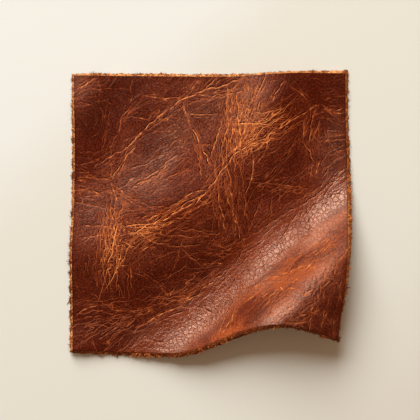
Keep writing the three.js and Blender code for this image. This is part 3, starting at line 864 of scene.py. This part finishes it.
def edge_places(run, level, sizes):
    """Points on the cut edge: run goes once round from 0 to 4, level from the flesh side to the grain."""
    side, share = np.floor(run).astype(int) % 4, run % 1
    u = np.choose(side, [share, np.ones_like(share), 1 - share, np.zeros_like(share)])
    v = np.choose(side, [np.zeros_like(share), share, np.ones_like(share), 1 - share])
    u, v = inside_cut(u, v, level, sizes)
    plan = plan_place(u, v)
    inner = plan_place(0.5 + (u - 0.5) * 0.99, 0.5 + (v - 0.5) * 0.99)
    normal = lie_normal(*plan.T)
    flesh, inner_flesh = (np.column_stack([spot, lie_height(*spot.T)]) for spot in (plan, inner))
    place = flesh + normal * (sizes.thickness / MM * level)[:, None]
    outward = flesh - inner_flesh
    outward[side % 2 == 0, 0] = 0
    outward[side % 2 == 1, 1] = 0
    outward -= normal * (outward * normal).sum(-1, keepdims=True)
    return place, one_long(outward), normal


def edge_fibres(sizes, fibres, material):
    """The loose fibres, most of them in small knots along the cut."""
    rng = np.random.default_rng(FIBRE_SEED)
    blank = fibre_blank(fibres.doublings)
    mesh = bpy.data.meshes.new("cut_edge_fibres")
    blank.to_mesh(mesh)
    blank.free()
    total = 2**fibres.doublings
    raw = vertex_places(mesh).reshape(total, -1, 3)

    knots = rng.uniform(0, 4, fibres.knots)
    knot_size = rng.gamma(2.0, 0.5, fibres.knots)
    knot = rng.choice(fibres.knots, total, p=knot_size / knot_size.sum())
    knotted = rng.uniform(0, 1, total) < KNOT_CHANCE
    spread = KNOT_SPREAD * np.sqrt(knot_size[knot]) / FLAT_SIDE
    run = np.where(knotted, knots[knot] + rng.normal(0, 1, total) * spread, rng.uniform(0, 4, total))
    level = np.clip(rng.beta(1.3, 2.2, total), 0.02, 0.9)
    place, outward, normal = edge_places(run % 4, level, sizes)
    sideways = np.cross(normal, outward)
    lean = rng.normal(0, 0.6, total)
    lift = rng.normal(-0.05, 0.45, total)
    heading = one_long(outward + sideways * lean[:, None] + normal * lift[:, None])
    length = np.where(knotted, 0.35 + 0.75 * np.sqrt(knot_size[knot]), 0.45) * rng.gamma(4.0, 0.25, total)
    side = np.floor(run).astype(int) % 4
    length *= fibres.length / MM * np.choose(side, FIBRE_LENGTHS)
    width = fibres.width / MM * rng.uniform(0.6, 1.4, total)
    curl = sideways * rng.normal(0, 0.9, (total, 1)) + normal * rng.normal(-0.1, 0.6, (total, 1))
    # the fibres of a knot share a tone, and each differs a little from it
    tone = np.where(knotted, (knots[knot] * 7919) % 1, rng.uniform(0, 1, total))
    # each edge then darkens its fibres, the front most, as painted shade
    tone = 0.6 * tone + 0.25 * rng.uniform(0, 1, total) + np.choose(side, FIBRE_PALENESS)

    side_a = one_long(np.cross(heading, normal))
    side_b = np.cross(heading, side_a)
    t = raw[..., 2] + 0.5
    thick = width[:, None] / 2
    points = (
        (place - heading * FIBRE_ROOT)[:, None]
        + side_a[:, None] * (raw[..., 0] * thick)[..., None]
        + side_b[:, None] * (raw[..., 1] * thick)[..., None]
        + heading[:, None] * (t * length[:, None])[..., None]
        + curl[:, None] * (t**2 * length[:, None] * 0.5)[..., None]
    )
    points[..., 2] = np.maximum(points[..., 2], 0.01)
    mesh.vertices.foreach_set("co", (points * MM).astype(np.float32).ravel())
    write_attribute(mesh, "tone", np.repeat(tone, raw.shape[1]))
    mesh.materials.append(material)
    mesh.update()
    obj = new_object("cut_edge_fibres", mesh)
    recalc = bmesh.new()
    recalc.from_mesh(mesh)
    bmesh.ops.recalc_face_normals(recalc, faces=recalc.faces)
    recalc.to_mesh(mesh)
    recalc.free()
    return obj


# ---- Materials -------------------------------------------------------------------------------------


class Nodes:
    """A node tree with short calls to add and join its nodes."""

    def __init__(self, tree):
        self.tree = tree

    def add(self, kind, settings=(), **inputs):
        node = self.tree.nodes.new(kind)
        for name, value in dict(settings).items():
            setattr(node, name, value)
        for name, value in inputs.items():
            self.feed(node.inputs[name.replace("_", " ")], value)
        return node

    def feed(self, socket, value):
        if isinstance(value, bpy.types.NodeSocket):
            self.tree.links.new(value, socket)
        else:
            socket.default_value = (*value, 1) if isinstance(value, Color) else value

    def math(self, operation, a, b=0.0, c=0.0):
        node = self.tree.nodes.new("ShaderNodeMath")
        node.operation = operation
        for socket, value in zip(node.inputs, (a, b, c)):
            self.feed(socket, value)
        return node.outputs[0]

    def times(self, a, b):
        return self.math("MULTIPLY", a, b)

    def scaled(self, value, factor, added):
        """The value times the factor, and something added to that."""
        return self.math("MULTIPLY_ADD", value, factor, added)

    def higher(self, a, b):
        return self.math("MAXIMUM", a, b)

    def lacking(self, value):
        """What the value falls short of one."""
        return self.math("SUBTRACT", 1.0, value)

    def ramp(self, value, low, high):
        """From 0 to 1 as the value goes from low to high."""
        smoothly = {"interpolation_type": "SMOOTHSTEP"}
        node = self.add("ShaderNodeMapRange", smoothly, Value=value, From_Min=low, From_Max=high)
        return node.outputs["Result"]

    def blend(self, share, a, b):
        """A number between two others."""
        return self.math("ADD", a, self.times(share, self.math("SUBTRACT", b, a)))

    def mix(self, share, a, b, blend="MIX"):
        node = self.tree.nodes.new("ShaderNodeMix")
        node.data_type = "RGBA"
        node.blend_type = blend
        self.feed(node.inputs[0], share)
        self.feed(node.inputs[6], a)
        self.feed(node.inputs[7], b)
        return node.outputs[2]

    def place(self):
        return self.tree.nodes.new("ShaderNodeTexCoord").outputs["Object"]

    def attribute(self, name):
        node = self.tree.nodes.new("ShaderNodeAttribute")
        node.attribute_name = name
        return node.outputs["Fac"]

    def noise_colour(self, vector, scale, detail):
        node = self.add("ShaderNodeTexNoise", Vector=vector, Scale=scale, Detail=detail, Roughness=0.55)
        return node.outputs["Color"]

    def noise(self, vector, scale, detail=3.0, roughness=0.55, distortion=0.0):
        node = self.add("ShaderNodeTexNoise", Vector=vector, Scale=scale, Detail=detail)
        node.inputs["Roughness"].default_value = roughness
        node.inputs["Distortion"].default_value = distortion
        return node.outputs["Fac"]

    def vector(self, operation, a, b):
        node = self.tree.nodes.new("ShaderNodeVectorMath")
        node.operation = operation
        self.feed(node.inputs[0], a)
        self.feed(node.inputs[1], b)
        return node.outputs[0]

    def warped(self, place, scale, detail, reach):
        """The places pushed about by noise, as far as the reach along each axis."""
        push = self.vector("SUBTRACT", self.noise_colour(place, scale, detail), (0.5, 0.5, 0.5))
        return self.vector("ADD", place, self.vector("MULTIPLY", push, reach))

    def stretched_cells(self, place, turn, cell):
        """The places in cells turned and sized as given."""
        as_texture = {"vector_type": "TEXTURE"}
        return self.add("ShaderNodeMapping", as_texture, Vector=place, Rotation=turn, Scale=cell).outputs[0]

    def bump(self, height, distance, strength, normal=None):
        node = self.add("ShaderNodeBump", Height=height, Distance=distance, Strength=strength)
        if normal is not None:
            self.feed(node.inputs["Normal"], normal)
        return node.outputs["Normal"]


def new_group(name, vectors, numbers, outputs):
    """A shader node group that takes vectors and numbers and puts out numbers, and its two ends."""
    group = bpy.data.node_groups.new(name, "ShaderNodeTree")
    for label in vectors:
        group.interface.new_socket(label, in_out="INPUT", socket_type="NodeSocketVector")
    for label, value in numbers.items():
        socket = group.interface.new_socket(label, in_out="INPUT", socket_type="NodeSocketFloat")
        socket.default_value = value
    for label in outputs:
        group.interface.new_socket(label, in_out="OUTPUT", socket_type="NodeSocketFloat")
    start = group.nodes.new("NodeGroupInput")
    end = group.nodes.new("NodeGroupOutput")
    return Nodes(group), start.outputs, end.inputs


def uneven_dye_group():
    """How unevenly the dye and wax have gone into the leather: a cloudy mask and a fine speckle."""
    nodes, given, out = new_group("uneven_dye", ("Place",), {"Scale": 60.0}, ("Cloud", "Speckle"))
    broad = nodes.noise(given["Place"], given["Scale"], detail=5.0, roughness=0.6, distortion=0.4)
    fine = nodes.noise(given["Place"], nodes.times(given["Scale"], 22.0), detail=2.0)
    nodes.feed(out["Cloud"], nodes.ramp(broad, 0.33, 0.67))
    nodes.feed(out["Speckle"], nodes.ramp(fine, 0.3, 0.7))
    return nodes.tree


def grain_group():
    """Pebbled grain: small cushions of hide parted by fine furrows."""
    nodes, given, out = new_group(
        "pebbled_grain", ("Place",), {"Scale": 850.0}, ("Height", "Furrow", "Pore")
    )
    warp_scale = nodes.times(given["Scale"], 0.5)
    cells = nodes.add(
        "ShaderNodeTexVoronoi",
        settings={"feature": "DISTANCE_TO_EDGE", "voronoi_dimensions": "2D"},
        Vector=nodes.warped(given["Place"], warp_scale, 2.0, (0.0019, 0.0019, 0.0019)),
        Scale=given["Scale"],
    )
    cushion = nodes.ramp(cells.outputs["Distance"], 0.0, 0.2)
    fine = nodes.noise(given["Place"], nodes.times(given["Scale"], 2.4), detail=2.0)
    nodes.feed(out["Height"], nodes.scaled(fine, 0.24, cushion))
    nodes.feed(out["Furrow"], nodes.lacking(nodes.ramp(cells.outputs["Distance"], 0.0, 0.13)))
    nodes.feed(out["Pore"], fine)
    return nodes.tree


def hair_crease_group():
    """Hair-fine creases that run one way and fade in and out: a bright core with painted shade beside it."""
    nodes, given, out = new_group(
        "hair_creases", ("Place", "Turn", "Cell"), {"Density": 0.0}, ("Line", "ShadedFlank")
    )
    moved = nodes.warped(given["Place"], 190.0, 1.0, (0.0035, 0.0035, 0.0))
    spot = nodes.stretched_cells(moved, given["Turn"], given["Cell"])
    level = nodes.noise(spot, 1.0, detail=1.0, roughness=0.4)
    beyond = nodes.noise(nodes.vector("ADD", spot, (0.0, 0.1, 0.0)), 1.0, detail=1.0, roughness=0.4)
    # the noise over its own slope is how far away the line is, whatever the noise does there
    slope = nodes.higher(nodes.math("ABSOLUTE", nodes.math("SUBTRACT", beyond, level)), 0.016)
    away = nodes.math("DIVIDE", nodes.math("ABSOLUTE", nodes.math("SUBTRACT", level, 0.5)), slope)
    fade = nodes.noise(spot, 0.55, detail=2.0, roughness=0.6)
    fade = nodes.ramp(nodes.scaled(given["Density"], 0.16, fade), 0.44, 0.62)
    line = nodes.lacking(nodes.ramp(away, 0.2, 1.0))
    shaded_flank = nodes.times(nodes.ramp(away, 0.9, 1.6), nodes.ramp(away, 3.4, 2.2))
    nodes.feed(out["Line"], nodes.times(line, fade))
    nodes.feed(out["ShadedFlank"], nodes.times(shaded_flank, fade))
    return nodes.tree


def crease_line_group():
    """The crease strands drawn finer than the mesh, from how far away they are in millimetres.

    Of what it gives, the first is the bright crack, the second painted shade along its upper left side and
    the third painted light along its lower right side.
    """
    nodes, given, out = new_group(
        "crease_lines", ("Place",), {}, ("Broken", "ShadeSide", "LitSide", "Depth")
    )
    shake = nodes.math("SUBTRACT", nodes.noise(given["Place"], 900.0, detail=1.0), 0.5)
    patchy = nodes.noise(given["Place"], 520.0, detail=3.0, roughness=0.65)
    patchy = nodes.scaled(patchy, 2.5, -0.26)
    drawn = {"Broken": 0.0, "ShadeSide": 0.0, "LitSide": 0.0, "Depth": 0.0}
    for layer in range(CREASE_LAYERS):
        gap, near, force = (nodes.attribute(f"{name}_{layer}") for name in ("gap", "near", "force"))
        gap = nodes.scaled(shake, 0.12, gap)
        force = nodes.times(force, patchy)
        away = nodes.higher(nodes.math("ABSOLUTE", gap), nodes.math("SUBTRACT", near, 0.2))
        shapes = {
            "Broken": nodes.lacking(nodes.ramp(nodes.scaled(force, -0.06, away), 0.0, 0.14)),
            "ShadeSide": nodes.times(nodes.ramp(gap, -0.65, -0.35), nodes.ramp(gap, -0.06, -0.2)),
            "LitSide": nodes.times(nodes.ramp(gap, 0.06, 0.2), nodes.ramp(gap, 0.6, 0.35)),
            "Depth": nodes.lacking(nodes.ramp(nodes.math("ABSOLUTE", gap), 0.0, 0.38)),
        }
        for name, shape in shapes.items():
            drawn[name] = nodes.higher(nodes.times(shape, force), drawn[name])
    for name in ("Broken", "Depth"):
        nodes.feed(out[name], drawn[name])
    for name in ("ShadeSide", "LitSide"):
        nodes.feed(out[name], nodes.ramp(drawn[name], 0.04, 0.6))
    return nodes.tree


def new_material(name):
    material = bpy.data.materials.new(name)
    material.use_nodes = True
    nodes = Nodes(material.node_tree)
    return material, nodes, material.node_tree.nodes["Principled BSDF"]


def place_group(nodes, group, **inputs):
    node = nodes.tree.nodes.new("ShaderNodeGroup")
    node.node_tree = group
    for name, value in inputs.items():
        nodes.feed(node.inputs[name], value)
    return node.outputs


def hair_creases(nodes, place, density, groups):
    """The three sets of hair creases, each where the main creases run its way: their cores, and the painted
    shade beside them.
    """
    line, shaded_flank = 0.0, 0.0
    for number, way in enumerate(HAIR_WAYS):
        turn = (0, 0, math.radians(way))
        lines = place_group(nodes, groups["hair"], Place=place, Turn=turn, Cell=HAIR_CELL, Density=density)
        share = nodes.attribute(f"hair_{number}")
        line = nodes.higher(nodes.times(lines["Line"], share), line)
        shaded_flank = nodes.higher(nodes.times(lines["ShadedFlank"], share), shaded_flank)
    return line, nodes.times(shaded_flank, nodes.lacking(line))


# What multiplies the colour in the furrows, darkened partly by dye and partly as painted shade, on the fine
# flecks, and on a crease's lower right side, where it is painted light.
FURROW_DYE_AND_SHADE = (0.3, 0.23, 0.2, 1)
FLECK_SHADE = (0.4, 0.28, 0.23, 1)
CREASE_PAINTED_LIGHT = (1.75, 1.9, 1.85, 1)
GLOSS_TINT = (1.0, 0.72, 0.55, 1)
CUSHION_HEIGHT = 0.00003
CREASE_DEPTH = 0.0001


def grain_material(colours, groups):
    """The grain side: dark where the wax is thick, orange where creased or pulled taut, with painted shade
    and light at creases, furrows and patches.
    """
    material, nodes, shader = new_material("leather_grain")
    place = nodes.place()
    dye = place_group(nodes, groups["dye"], Place=place, Scale=90.0)
    fine = place_group(nodes, groups["grain"], Place=place, Scale=760.0)
    plump = place_group(nodes, groups["grain"], Place=place, Scale=620.0)
    line = place_group(nodes, groups["line"], Place=place)
    pulled, pebbled_share, tone, cracked, sheen = (
        nodes.attribute(name) for name in ("pulled", "pebbled", "tone", "cracked", "sheen")
    )
    share = nodes.times(pebbled_share, 0.8)
    furrow = nodes.blend(share, fine["Furrow"], plump["Furrow"])
    height = nodes.blend(share, fine["Height"], plump["Height"])
    smooth_skin = nodes.higher(pulled, pebbled_share)

    # how worn each spot is, from a tone that also holds painted light and shade, and the hair creases that
    # wear brings out
    for name in ("Cloud", "Speckle"):
        tone = nodes.scaled(nodes.math("SUBTRACT", dye[name], 0.5), 0.3, tone)
    worn = nodes.ramp(tone, 0.5, 1.05)
    used = nodes.higher(worn, cracked)
    hair, shaded_flank = hair_creases(nodes, place, used, groups)

    # the dyed skin, its taut streaks, its furrows darkened partly by dye and partly as painted shade, and its
    # flecks
    colour = nodes.mix(nodes.ramp(tone, 0.05, 0.6), colours.deep, colours.body)
    colour = nodes.mix(worn, colour, colours.rubbed)
    streaks = nodes.stretched_cells(place, (0, 0, FOLD_ANGLE), STREAK_CELL)
    streak = nodes.noise(streaks, 1.0, detail=4.0, roughness=0.6, distortion=0.5)
    streak = nodes.scaled(nodes.math("SUBTRACT", tone, 0.5), 0.45, streak)
    taut = nodes.mix(nodes.ramp(streak, 0.36, 0.64), colours.pulled_deep, colours.pulled)
    colour = nodes.mix(nodes.times(pulled, 0.85), colour, taut)
    furrow_dye_and_shade = nodes.times(furrow, nodes.scaled(smooth_skin, -0.3, 0.9))
    colour = nodes.mix(furrow_dye_and_shade, colour, FURROW_DYE_AND_SHADE, blend="MULTIPLY")
    swollen = nodes.times(furrow, pebbled_share)
    colour = nodes.mix(nodes.times(swollen, 0.9), colour, colours.crease_faint)
    fleck = nodes.ramp(nodes.noise(place, 2200.0, detail=1.0), 0.54, 0.38)
    dark_fleck = nodes.times(fleck, nodes.scaled(smooth_skin, -0.55, 0.68))
    colour = nodes.mix(dark_fleck, colour, FLECK_SHADE, blend="MULTIPLY")

    # beside each crease, painted light along its lower right side and painted shade along its upper left, and
    # painted shade beside the hair creases
    lit_side = nodes.times(line["LitSide"], nodes.scaled(worn, 0.2, 0.35))
    colour = nodes.mix(lit_side, colour, CREASE_PAINTED_LIGHT, blend="MULTIPLY")
    shaded_side = nodes.times(line["ShadeSide"], nodes.scaled(pulled, -0.55, 1.0))
    shaded_side = nodes.higher(shaded_side, nodes.times(shaded_flank, nodes.scaled(used, 0.7, 0.45)))
    colour = nodes.mix(shaded_side, colour, colours.crease_shade)

    # the creases themselves, with the crazing between them
    crazed = nodes.scaled(worn, 0.5, nodes.times(cracked, 0.5))
    crazed = nodes.times(crazed, nodes.times(plump["Furrow"], dye["Speckle"]))
    shown = nodes.times(hair, nodes.scaled(used, 0.5, 0.2))
    shown = nodes.higher(nodes.higher(shown, crazed), line["Broken"])
    shown = nodes.times(shown, nodes.scaled(pebbled_share, -0.4, 1.0))
    colour = nodes.mix(nodes.ramp(shown, 0.05, 0.32), colour, colours.crease_faint)
    colour = nodes.mix(nodes.ramp(shown, 0.28, 0.8), colour, colours.crease)
    nodes.feed(shader.inputs["Base Color"], colour)

    gloss = nodes.scaled(fine["Pore"], 0.1, 0.34)
    gloss = nodes.scaled(smooth_skin, -0.14, gloss)
    gloss = nodes.scaled(nodes.scaled(pebbled_share, 0.5, pulled), 0.12, gloss)
    dulled = nodes.times(nodes.ramp(shown, 0.1, 0.5), nodes.scaled(sheen, -0.4, 0.5))
    nodes.feed(shader.inputs["Roughness"], nodes.math("ADD", gloss, dulled))
    polish = nodes.scaled(smooth_skin, 0.25, sheen)
    polish = nodes.scaled(pulled, -0.38, polish)
    polish = nodes.times(polish, nodes.scaled(furrow, -0.3, 1.0))
    polish = nodes.times(polish, nodes.scaled(swollen, -0.45, 1.0))
    nodes.feed(shader.inputs["Specular IOR Level"], polish)
    shader.inputs["Specular Tint"].default_value = GLOSS_TINT

    cushion = nodes.scaled(pebbled_share, 0.8, nodes.scaled(worn, 0.4, 0.75))
    cushion = nodes.times(cushion, nodes.scaled(pulled, -0.6, 1.0))
    normal = nodes.bump(nodes.times(height, cushion), CUSHION_HEIGHT, 1.0)
    depth = nodes.scaled(hair, 0.35, line["Depth"])
    normal = nodes.bump(nodes.times(depth, -1.0), CREASE_DEPTH, 1.0, normal)
    nodes.feed(shader.inputs["Normal"], normal)
    return material


NAP_HEIGHT = 0.0004


def matt_finish(nodes, shader, colour, roughness, specular):
    """A dull surface in the colour, the same dullness all over."""
    nodes.feed(shader.inputs["Base Color"], colour)
    shader.inputs["Roughness"].default_value = roughness
    shader.inputs["Specular IOR Level"].default_value = specular


def suede_material(colours, groups):
    """The flesh side and the cut edge: a tan nap in small clumps, brown between them."""
    material, nodes, shader = new_material("leather_suede")
    place = nodes.place()
    dye = place_group(nodes, groups["dye"], Place=place, Scale=420.0)
    clump = nodes.noise(place, 2100.0, detail=2.0, roughness=0.6)
    share = nodes.ramp(nodes.scaled(dye["Cloud"], 0.1, clump), 0.44, 0.66)
    # the suede is painted darker near the front and right edges and paler near the back and left: painted
    # shade and painted light
    pale = nodes.mix(nodes.attribute("paler"), colours.cut_shade, colours.suede)
    matt_finish(nodes, shader, nodes.mix(share, colours.suede_deep, pale), 0.9, 0.15)
    nodes.feed(shader.inputs["Normal"], nodes.bump(clump, NAP_HEIGHT, 1.0))
    return material


def fibre_material(colours, groups):
    """The loose fibres of the cut: brown to pale, each with a tone of its own."""
    material, nodes, shader = new_material("leather_fibre")
    dye = place_group(nodes, groups["dye"], Place=nodes.place(), Scale=420.0)
    tone = nodes.scaled(nodes.attribute("tone"), 0.6, nodes.times(dye["Cloud"], 0.4))
    colour = nodes.mix(nodes.ramp(tone, 0.25, 0.75), colours.fibre, colours.fibre_pale)
    matt_finish(nodes, shader, colour, 0.85, 0.2)
    return material


# The way along which the table top is painted from lighter at the back left to darker at the front right.
FORWARD_RIGHT = (0.6, -0.8, 0.0)


def floor_material(colours):
    """A plain pale table top with painted light behind and painted shade towards its front right."""
    material, nodes, shader = new_material("pale_table")
    place = nodes.place()
    forward = nodes.add("ShaderNodeVectorMath", settings={"operation": "DOT_PRODUCT"})
    nodes.feed(forward.inputs[0], place)
    forward.inputs[1].default_value = FORWARD_RIGHT
    forward = nodes.scaled(nodes.noise(place, 14.0), 0.03, forward.outputs["Value"])
    colour = nodes.mix(nodes.ramp(forward, -0.05, -0.02), colours.table_painted_light, colours.table)
    colour = nodes.mix(nodes.ramp(forward, 0.06, 0.14), colour, colours.table_painted_shade)
    matt_finish(nodes, shader, colour, 0.9, 0.1)
    return material


# ---- What a user can change ------------------------------------------------------------------------


def length_property(name, description, default):
    return bpy.props.FloatProperty(
        name=name, description=description, default=default, min=0.0, precision=5, unit="LENGTH"
    )


def colour_property(name, description, default):
    return bpy.props.FloatVectorProperty(
        name=name, description=description, default=default, min=0.0, max=1.0, subtype="COLOR"
    )


class LeatherSizes(bpy.types.PropertyGroup):
    """The sheet's sizes."""

    thickness: length_property("Thickness", "From the flesh side to the grain side", 0.0015)
    cut_slant: length_property("Cut slant", "How far the grain side is cut in from the flesh side", 0.0009)
    crease_depth: length_property("Crease depth", "How deep the strongest creases are pressed", 0.00009)
    coarse_cells: bpy.props.IntProperty(
        name="Cells", description="Cells along each edge of the flesh side", default=72, min=8
    )
    fine_cuts: bpy.props.IntProperty(
        name="Fine cuts", description="Cuts in each of those cells on the grain side", default=3, min=0
    )


class FibreSizes(bpy.types.PropertyGroup):
    """The sizes of the loose fibres along the cut edge."""

    length: length_property("Length", "Usual length of a fibre", 0.00042)
    width: length_property("Width", "Width of a fibre at its root", 0.00036)
    knots: bpy.props.IntProperty(
        name="Knots", description="How many little knots of fibre stand along the edge", default=520, min=1
    )
    doublings: bpy.props.IntProperty(
        name="Doublings", description="The fibres number two to this power", default=13, min=1, max=14
    )


class LeatherColours(bpy.types.PropertyGroup):
    """The colours of the leather and of the table it lies on."""

    # The deep, body and rubbed browns follow the tone, which also holds painted light and shade.
    deep: colour_property("Deep brown", "The grain side where the wax is thick", (0.102, 0.0122, 0.0032))
    body: colour_property("Body brown", "The grain side elsewhere", (0.168, 0.0262, 0.0094))
    rubbed: colour_property("Rubbed brown", "The grain side where the wax is worn", (0.34, 0.085, 0.037))
    pulled: colour_property("Pulled up", "The grain side where it is stretched", (0.38, 0.078, 0.0175))
    pulled_deep: colour_property("Taut streaks", "Dark streaks where it is taut", (0.14, 0.021, 0.0055))
    # The colour painted beside a crease as its shade.
    crease_shade: colour_property("Waxed crease", "Where wax gathers beside a crease", (0.026, 0.0026, 0.0008))
    crease_faint: colour_property("Faint crease", "Where a crease is faint", (0.32, 0.066, 0.0165))
    crease: colour_property("Crease", "Where a crease is strong", (0.92, 0.315, 0.09))
    suede: colour_property("Suede", "The flesh side and the cut edge", (0.92, 0.40, 0.125))
    # The cut's painted shade at the front and right.
    cut_shade: colour_property("Rust", "The cut at the front and right, soaked with wax", (0.30, 0.075, 0.0165))
    suede_deep: colour_property("Deep suede", "Between the clumps of the suede", (0.105, 0.021, 0.0048))
    fibre: colour_property("Fibre", "The darker fibres at the cut", (0.21, 0.048, 0.010))
    fibre_pale: colour_property("Pale fibre", "The paler fibres at the cut", (0.64, 0.20, 0.045))
    table: colour_property("Table", "The table top", (0.758, 0.775, 0.71))
    # Painted light on the table top at the back left, and painted shade at its front right.
    table_painted_light: colour_property("Table light", "The table top at the back left", (0.80, 0.842, 0.815))
    table_painted_shade: colour_property("Table shade", "The table top at the front right", (0.68, 0.665, 0.595))


class StageSizes(bpy.types.PropertyGroup):
    """The camera and the lights."""

    camera_height: length_property("Camera height", "The camera's height over the table", 0.45)
    frame_width: length_property("Frame width", "The width of table that the frame shows", 0.15273)
    window_distance: length_property("Window distance", "From the leather to the window", 2.2)
    window_size: length_property("Window size", "How wide the window is", 1.75)
    window_power: bpy.props.FloatProperty(
        name="Window power", description="The window's power", default=80.0, min=0.0, unit="POWER"
    )
    gloss_power: bpy.props.FloatProperty(
        name="Gloss power", description="The power of the lamp seen in the gloss", default=19.0, min=0.0,
        unit="POWER",
    )
    room_light: bpy.props.FloatProperty(
        name="Room light", description="The strength of the light from all round", default=0.29, min=0.0
    )


# ---- Operators -------------------------------------------------------------------------------------


def shared_group(name, maker):
    return bpy.data.node_groups.get(name) or maker()


def leather_groups():
    return {
        "dye": shared_group("uneven_dye", uneven_dye_group),
        "grain": shared_group("pebbled_grain", grain_group),
        "hair": shared_group("hair_creases", hair_crease_group),
        "line": shared_group("crease_lines", crease_line_group),
    }


class LEATHER_OT_cut_sheet(bpy.types.Operator):
    """Cut the square of leather, lay it in its wave and crease it"""

    bl_idname = "leather.cut_sheet"
    bl_label = "Cut and crease the leather"

    def execute(self, context):
        scene = context.scene
        groups = leather_groups()
        materials = [
            grain_material(scene.leather_colours, groups),
            suede_material(scene.leather_colours, groups),
        ]
        sheet = cut_sheet(scene.leather_sizes, materials)
        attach(sheet, BODY)
        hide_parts(NODE)
        return {"FINISHED"}


class LEATHER_OT_fray_edge(bpy.types.Operator):
    """Raise the loose fibres along the cut edge"""

    bl_idname = "leather.fray_edge"
    bl_label = "Fray the cut edge"

    def execute(self, context):
        scene = context.scene
        material = fibre_material(scene.leather_colours, leather_groups())
        fibres = edge_fibres(scene.leather_sizes, scene.fibre_sizes, material)
        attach(fibres, BODY)
        return {"FINISHED"}


TABLE_SIDE = 6.0
TABLE_GAP = 0.0001  # the table top lies this far under the leather, so that they don't share a plane
CAMERA_SPOT = (-0.1 * MM, 1.3 * MM)
SENSOR_WIDTH = 36.0
# Where each light hangs: its azimuth from +X and its angle from straight above.
WINDOW_WAY = (109, 56)
GLOSS_WAY = (125, 45)
GLOSS_DISTANCE, GLOSS_SIZE = 1.5, 0.6
WINDOW_COLOUR = (1.0, 0.985, 0.96)
GLOSS_COLOUR = (1.0, 0.97, 0.93)
ROOM_COLOUR = (1.0, 0.61, 0.38, 1)


def lay_table(colours):
    blank = bmesh.new()
    bmesh.ops.create_grid(blank, x_segments=2, y_segments=2, size=TABLE_SIDE / 2)
    bmesh.ops.translate(blank, vec=(0, 0, -TABLE_GAP), verts=blank.verts)
    mesh = bpy.data.meshes.new("table_top")
    blank.to_mesh(mesh)
    blank.free()
    mesh.materials.append(floor_material(colours))
    new_object("table_top", mesh)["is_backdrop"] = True


def hang_lamp(name, way, distance, size, power, colour):
    """A round lamp that shines at the origin."""
    data = bpy.data.lights.new(name, "AREA")
    data.shape = "DISK"
    data.size = size
    data.energy = power
    data.color = colour
    lamp = bpy.data.objects.new(name, data)
    bpy.context.scene.collection.objects.link(lamp)
    azimuth, from_above = map(math.radians, way)
    lamp.location = (
        distance * math.sin(from_above) * math.cos(azimuth),
        distance * math.sin(from_above) * math.sin(azimuth),
        distance * math.cos(from_above),
    )
    lamp.rotation_euler = (0, from_above, azimuth)
    return lamp


def light_room(strength):
    """Even soft light from all round, kept out of the gloss."""
    world = bpy.data.worlds.new("room")
    world.use_nodes = True
    background = world.node_tree.nodes["Background"]
    background.inputs["Color"].default_value = ROOM_COLOUR
    background.inputs["Strength"].default_value = strength
    bpy.context.scene.world = world
    world.cycles_visibility.glossy = False


def set_camera(stage):
    """A camera that looks straight down and takes in the frame width of the table."""
    data = bpy.data.cameras.new("camera")
    data.sensor_width = SENSOR_WIDTH
    data.lens = SENSOR_WIDTH * stage.camera_height / stage.frame_width
    data.clip_start = 0.01
    camera = bpy.data.objects.new("camera", data)
    camera.location = (*CAMERA_SPOT, stage.camera_height)
    bpy.context.scene.collection.objects.link(camera)
    bpy.context.scene.camera = camera


class LEATHER_OT_set_stage(bpy.types.Operator):
    """Lay the table top, hang the lights and point the camera straight down"""

    bl_idname = "leather.set_stage"
    bl_label = "Set the stage"

    def execute(self, context):
        scene = context.scene
        stage = scene.stage_sizes
        lay_table(scene.leather_colours)
        light_room(stage.room_light)
        window = hang_lamp(
            "window", WINDOW_WAY, stage.window_distance, stage.window_size, stage.window_power,
            WINDOW_COLOUR,
        )
        window.visible_glossy = False
        gloss = hang_lamp(
            "gloss_lamp", GLOSS_WAY, GLOSS_DISTANCE, GLOSS_SIZE, stage.gloss_power, GLOSS_COLOUR
        )
        gloss.visible_diffuse = False
        set_camera(stage)
        scene.view_settings.view_transform = "Standard"
        return {"FINISHED"}


class LEATHER_PT_panel(bpy.types.Panel):
    """Lists each step with its main sizes, and then the main colours"""

    bl_label = "Creased leather"
    bl_idname = "LEATHER_PT_panel"
    bl_space_type = "VIEW_3D"
    bl_region_type = "UI"
    bl_category = "Leather"

    def draw(self, context):
        scene = context.scene
        steps = (
            (scene.leather_sizes, ("thickness", "cut_slant", "crease_depth"), "leather.cut_sheet"),
            (scene.fibre_sizes, ("length", "width", "doublings"), "leather.fray_edge"),
            (scene.stage_sizes, ("camera_height", "frame_width", "window_power"), "leather.set_stage"),
        )
        for group, names, operator in steps:
            box = self.layout.box()
            for name in names:
                box.prop(group, name)
            box.operator(operator)
        box = self.layout.box()
        for name in ("deep", "body", "pulled", "crease", "suede", "fibre", "table"):
            box.prop(scene.leather_colours, name)


CLASSES = (
    LeatherSizes,
    FibreSizes,
    LeatherColours,
    StageSizes,
    LEATHER_OT_cut_sheet,
    LEATHER_OT_fray_edge,
    LEATHER_OT_set_stage,
    LEATHER_PT_panel,
)


def register():
    for cls in CLASSES:
        bpy.utils.register_class(cls)
    bpy.types.Scene.leather_sizes = bpy.props.PointerProperty(type=LeatherSizes)
    bpy.types.Scene.fibre_sizes = bpy.props.PointerProperty(type=FibreSizes)
    bpy.types.Scene.leather_colours = bpy.props.PointerProperty(type=LeatherColours)
    bpy.types.Scene.stage_sizes = bpy.props.PointerProperty(type=StageSizes)


def unregister():
    for name in ("stage_sizes", "leather_colours", "fibre_sizes", "leather_sizes"):
        delattr(bpy.types.Scene, name)
    for cls in reversed(CLASSES):
        bpy.utils.unregister_class(cls)


def main():
    register()
    bpy.ops.leather.set_stage()
    bpy.ops.leather.cut_sheet()
    bpy.ops.leather.fray_edge()
    boxes = [[list(map(float, corner)) for corner in box] for box in (CAD_BOX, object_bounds())]


if __name__ == "__main__":
    main()
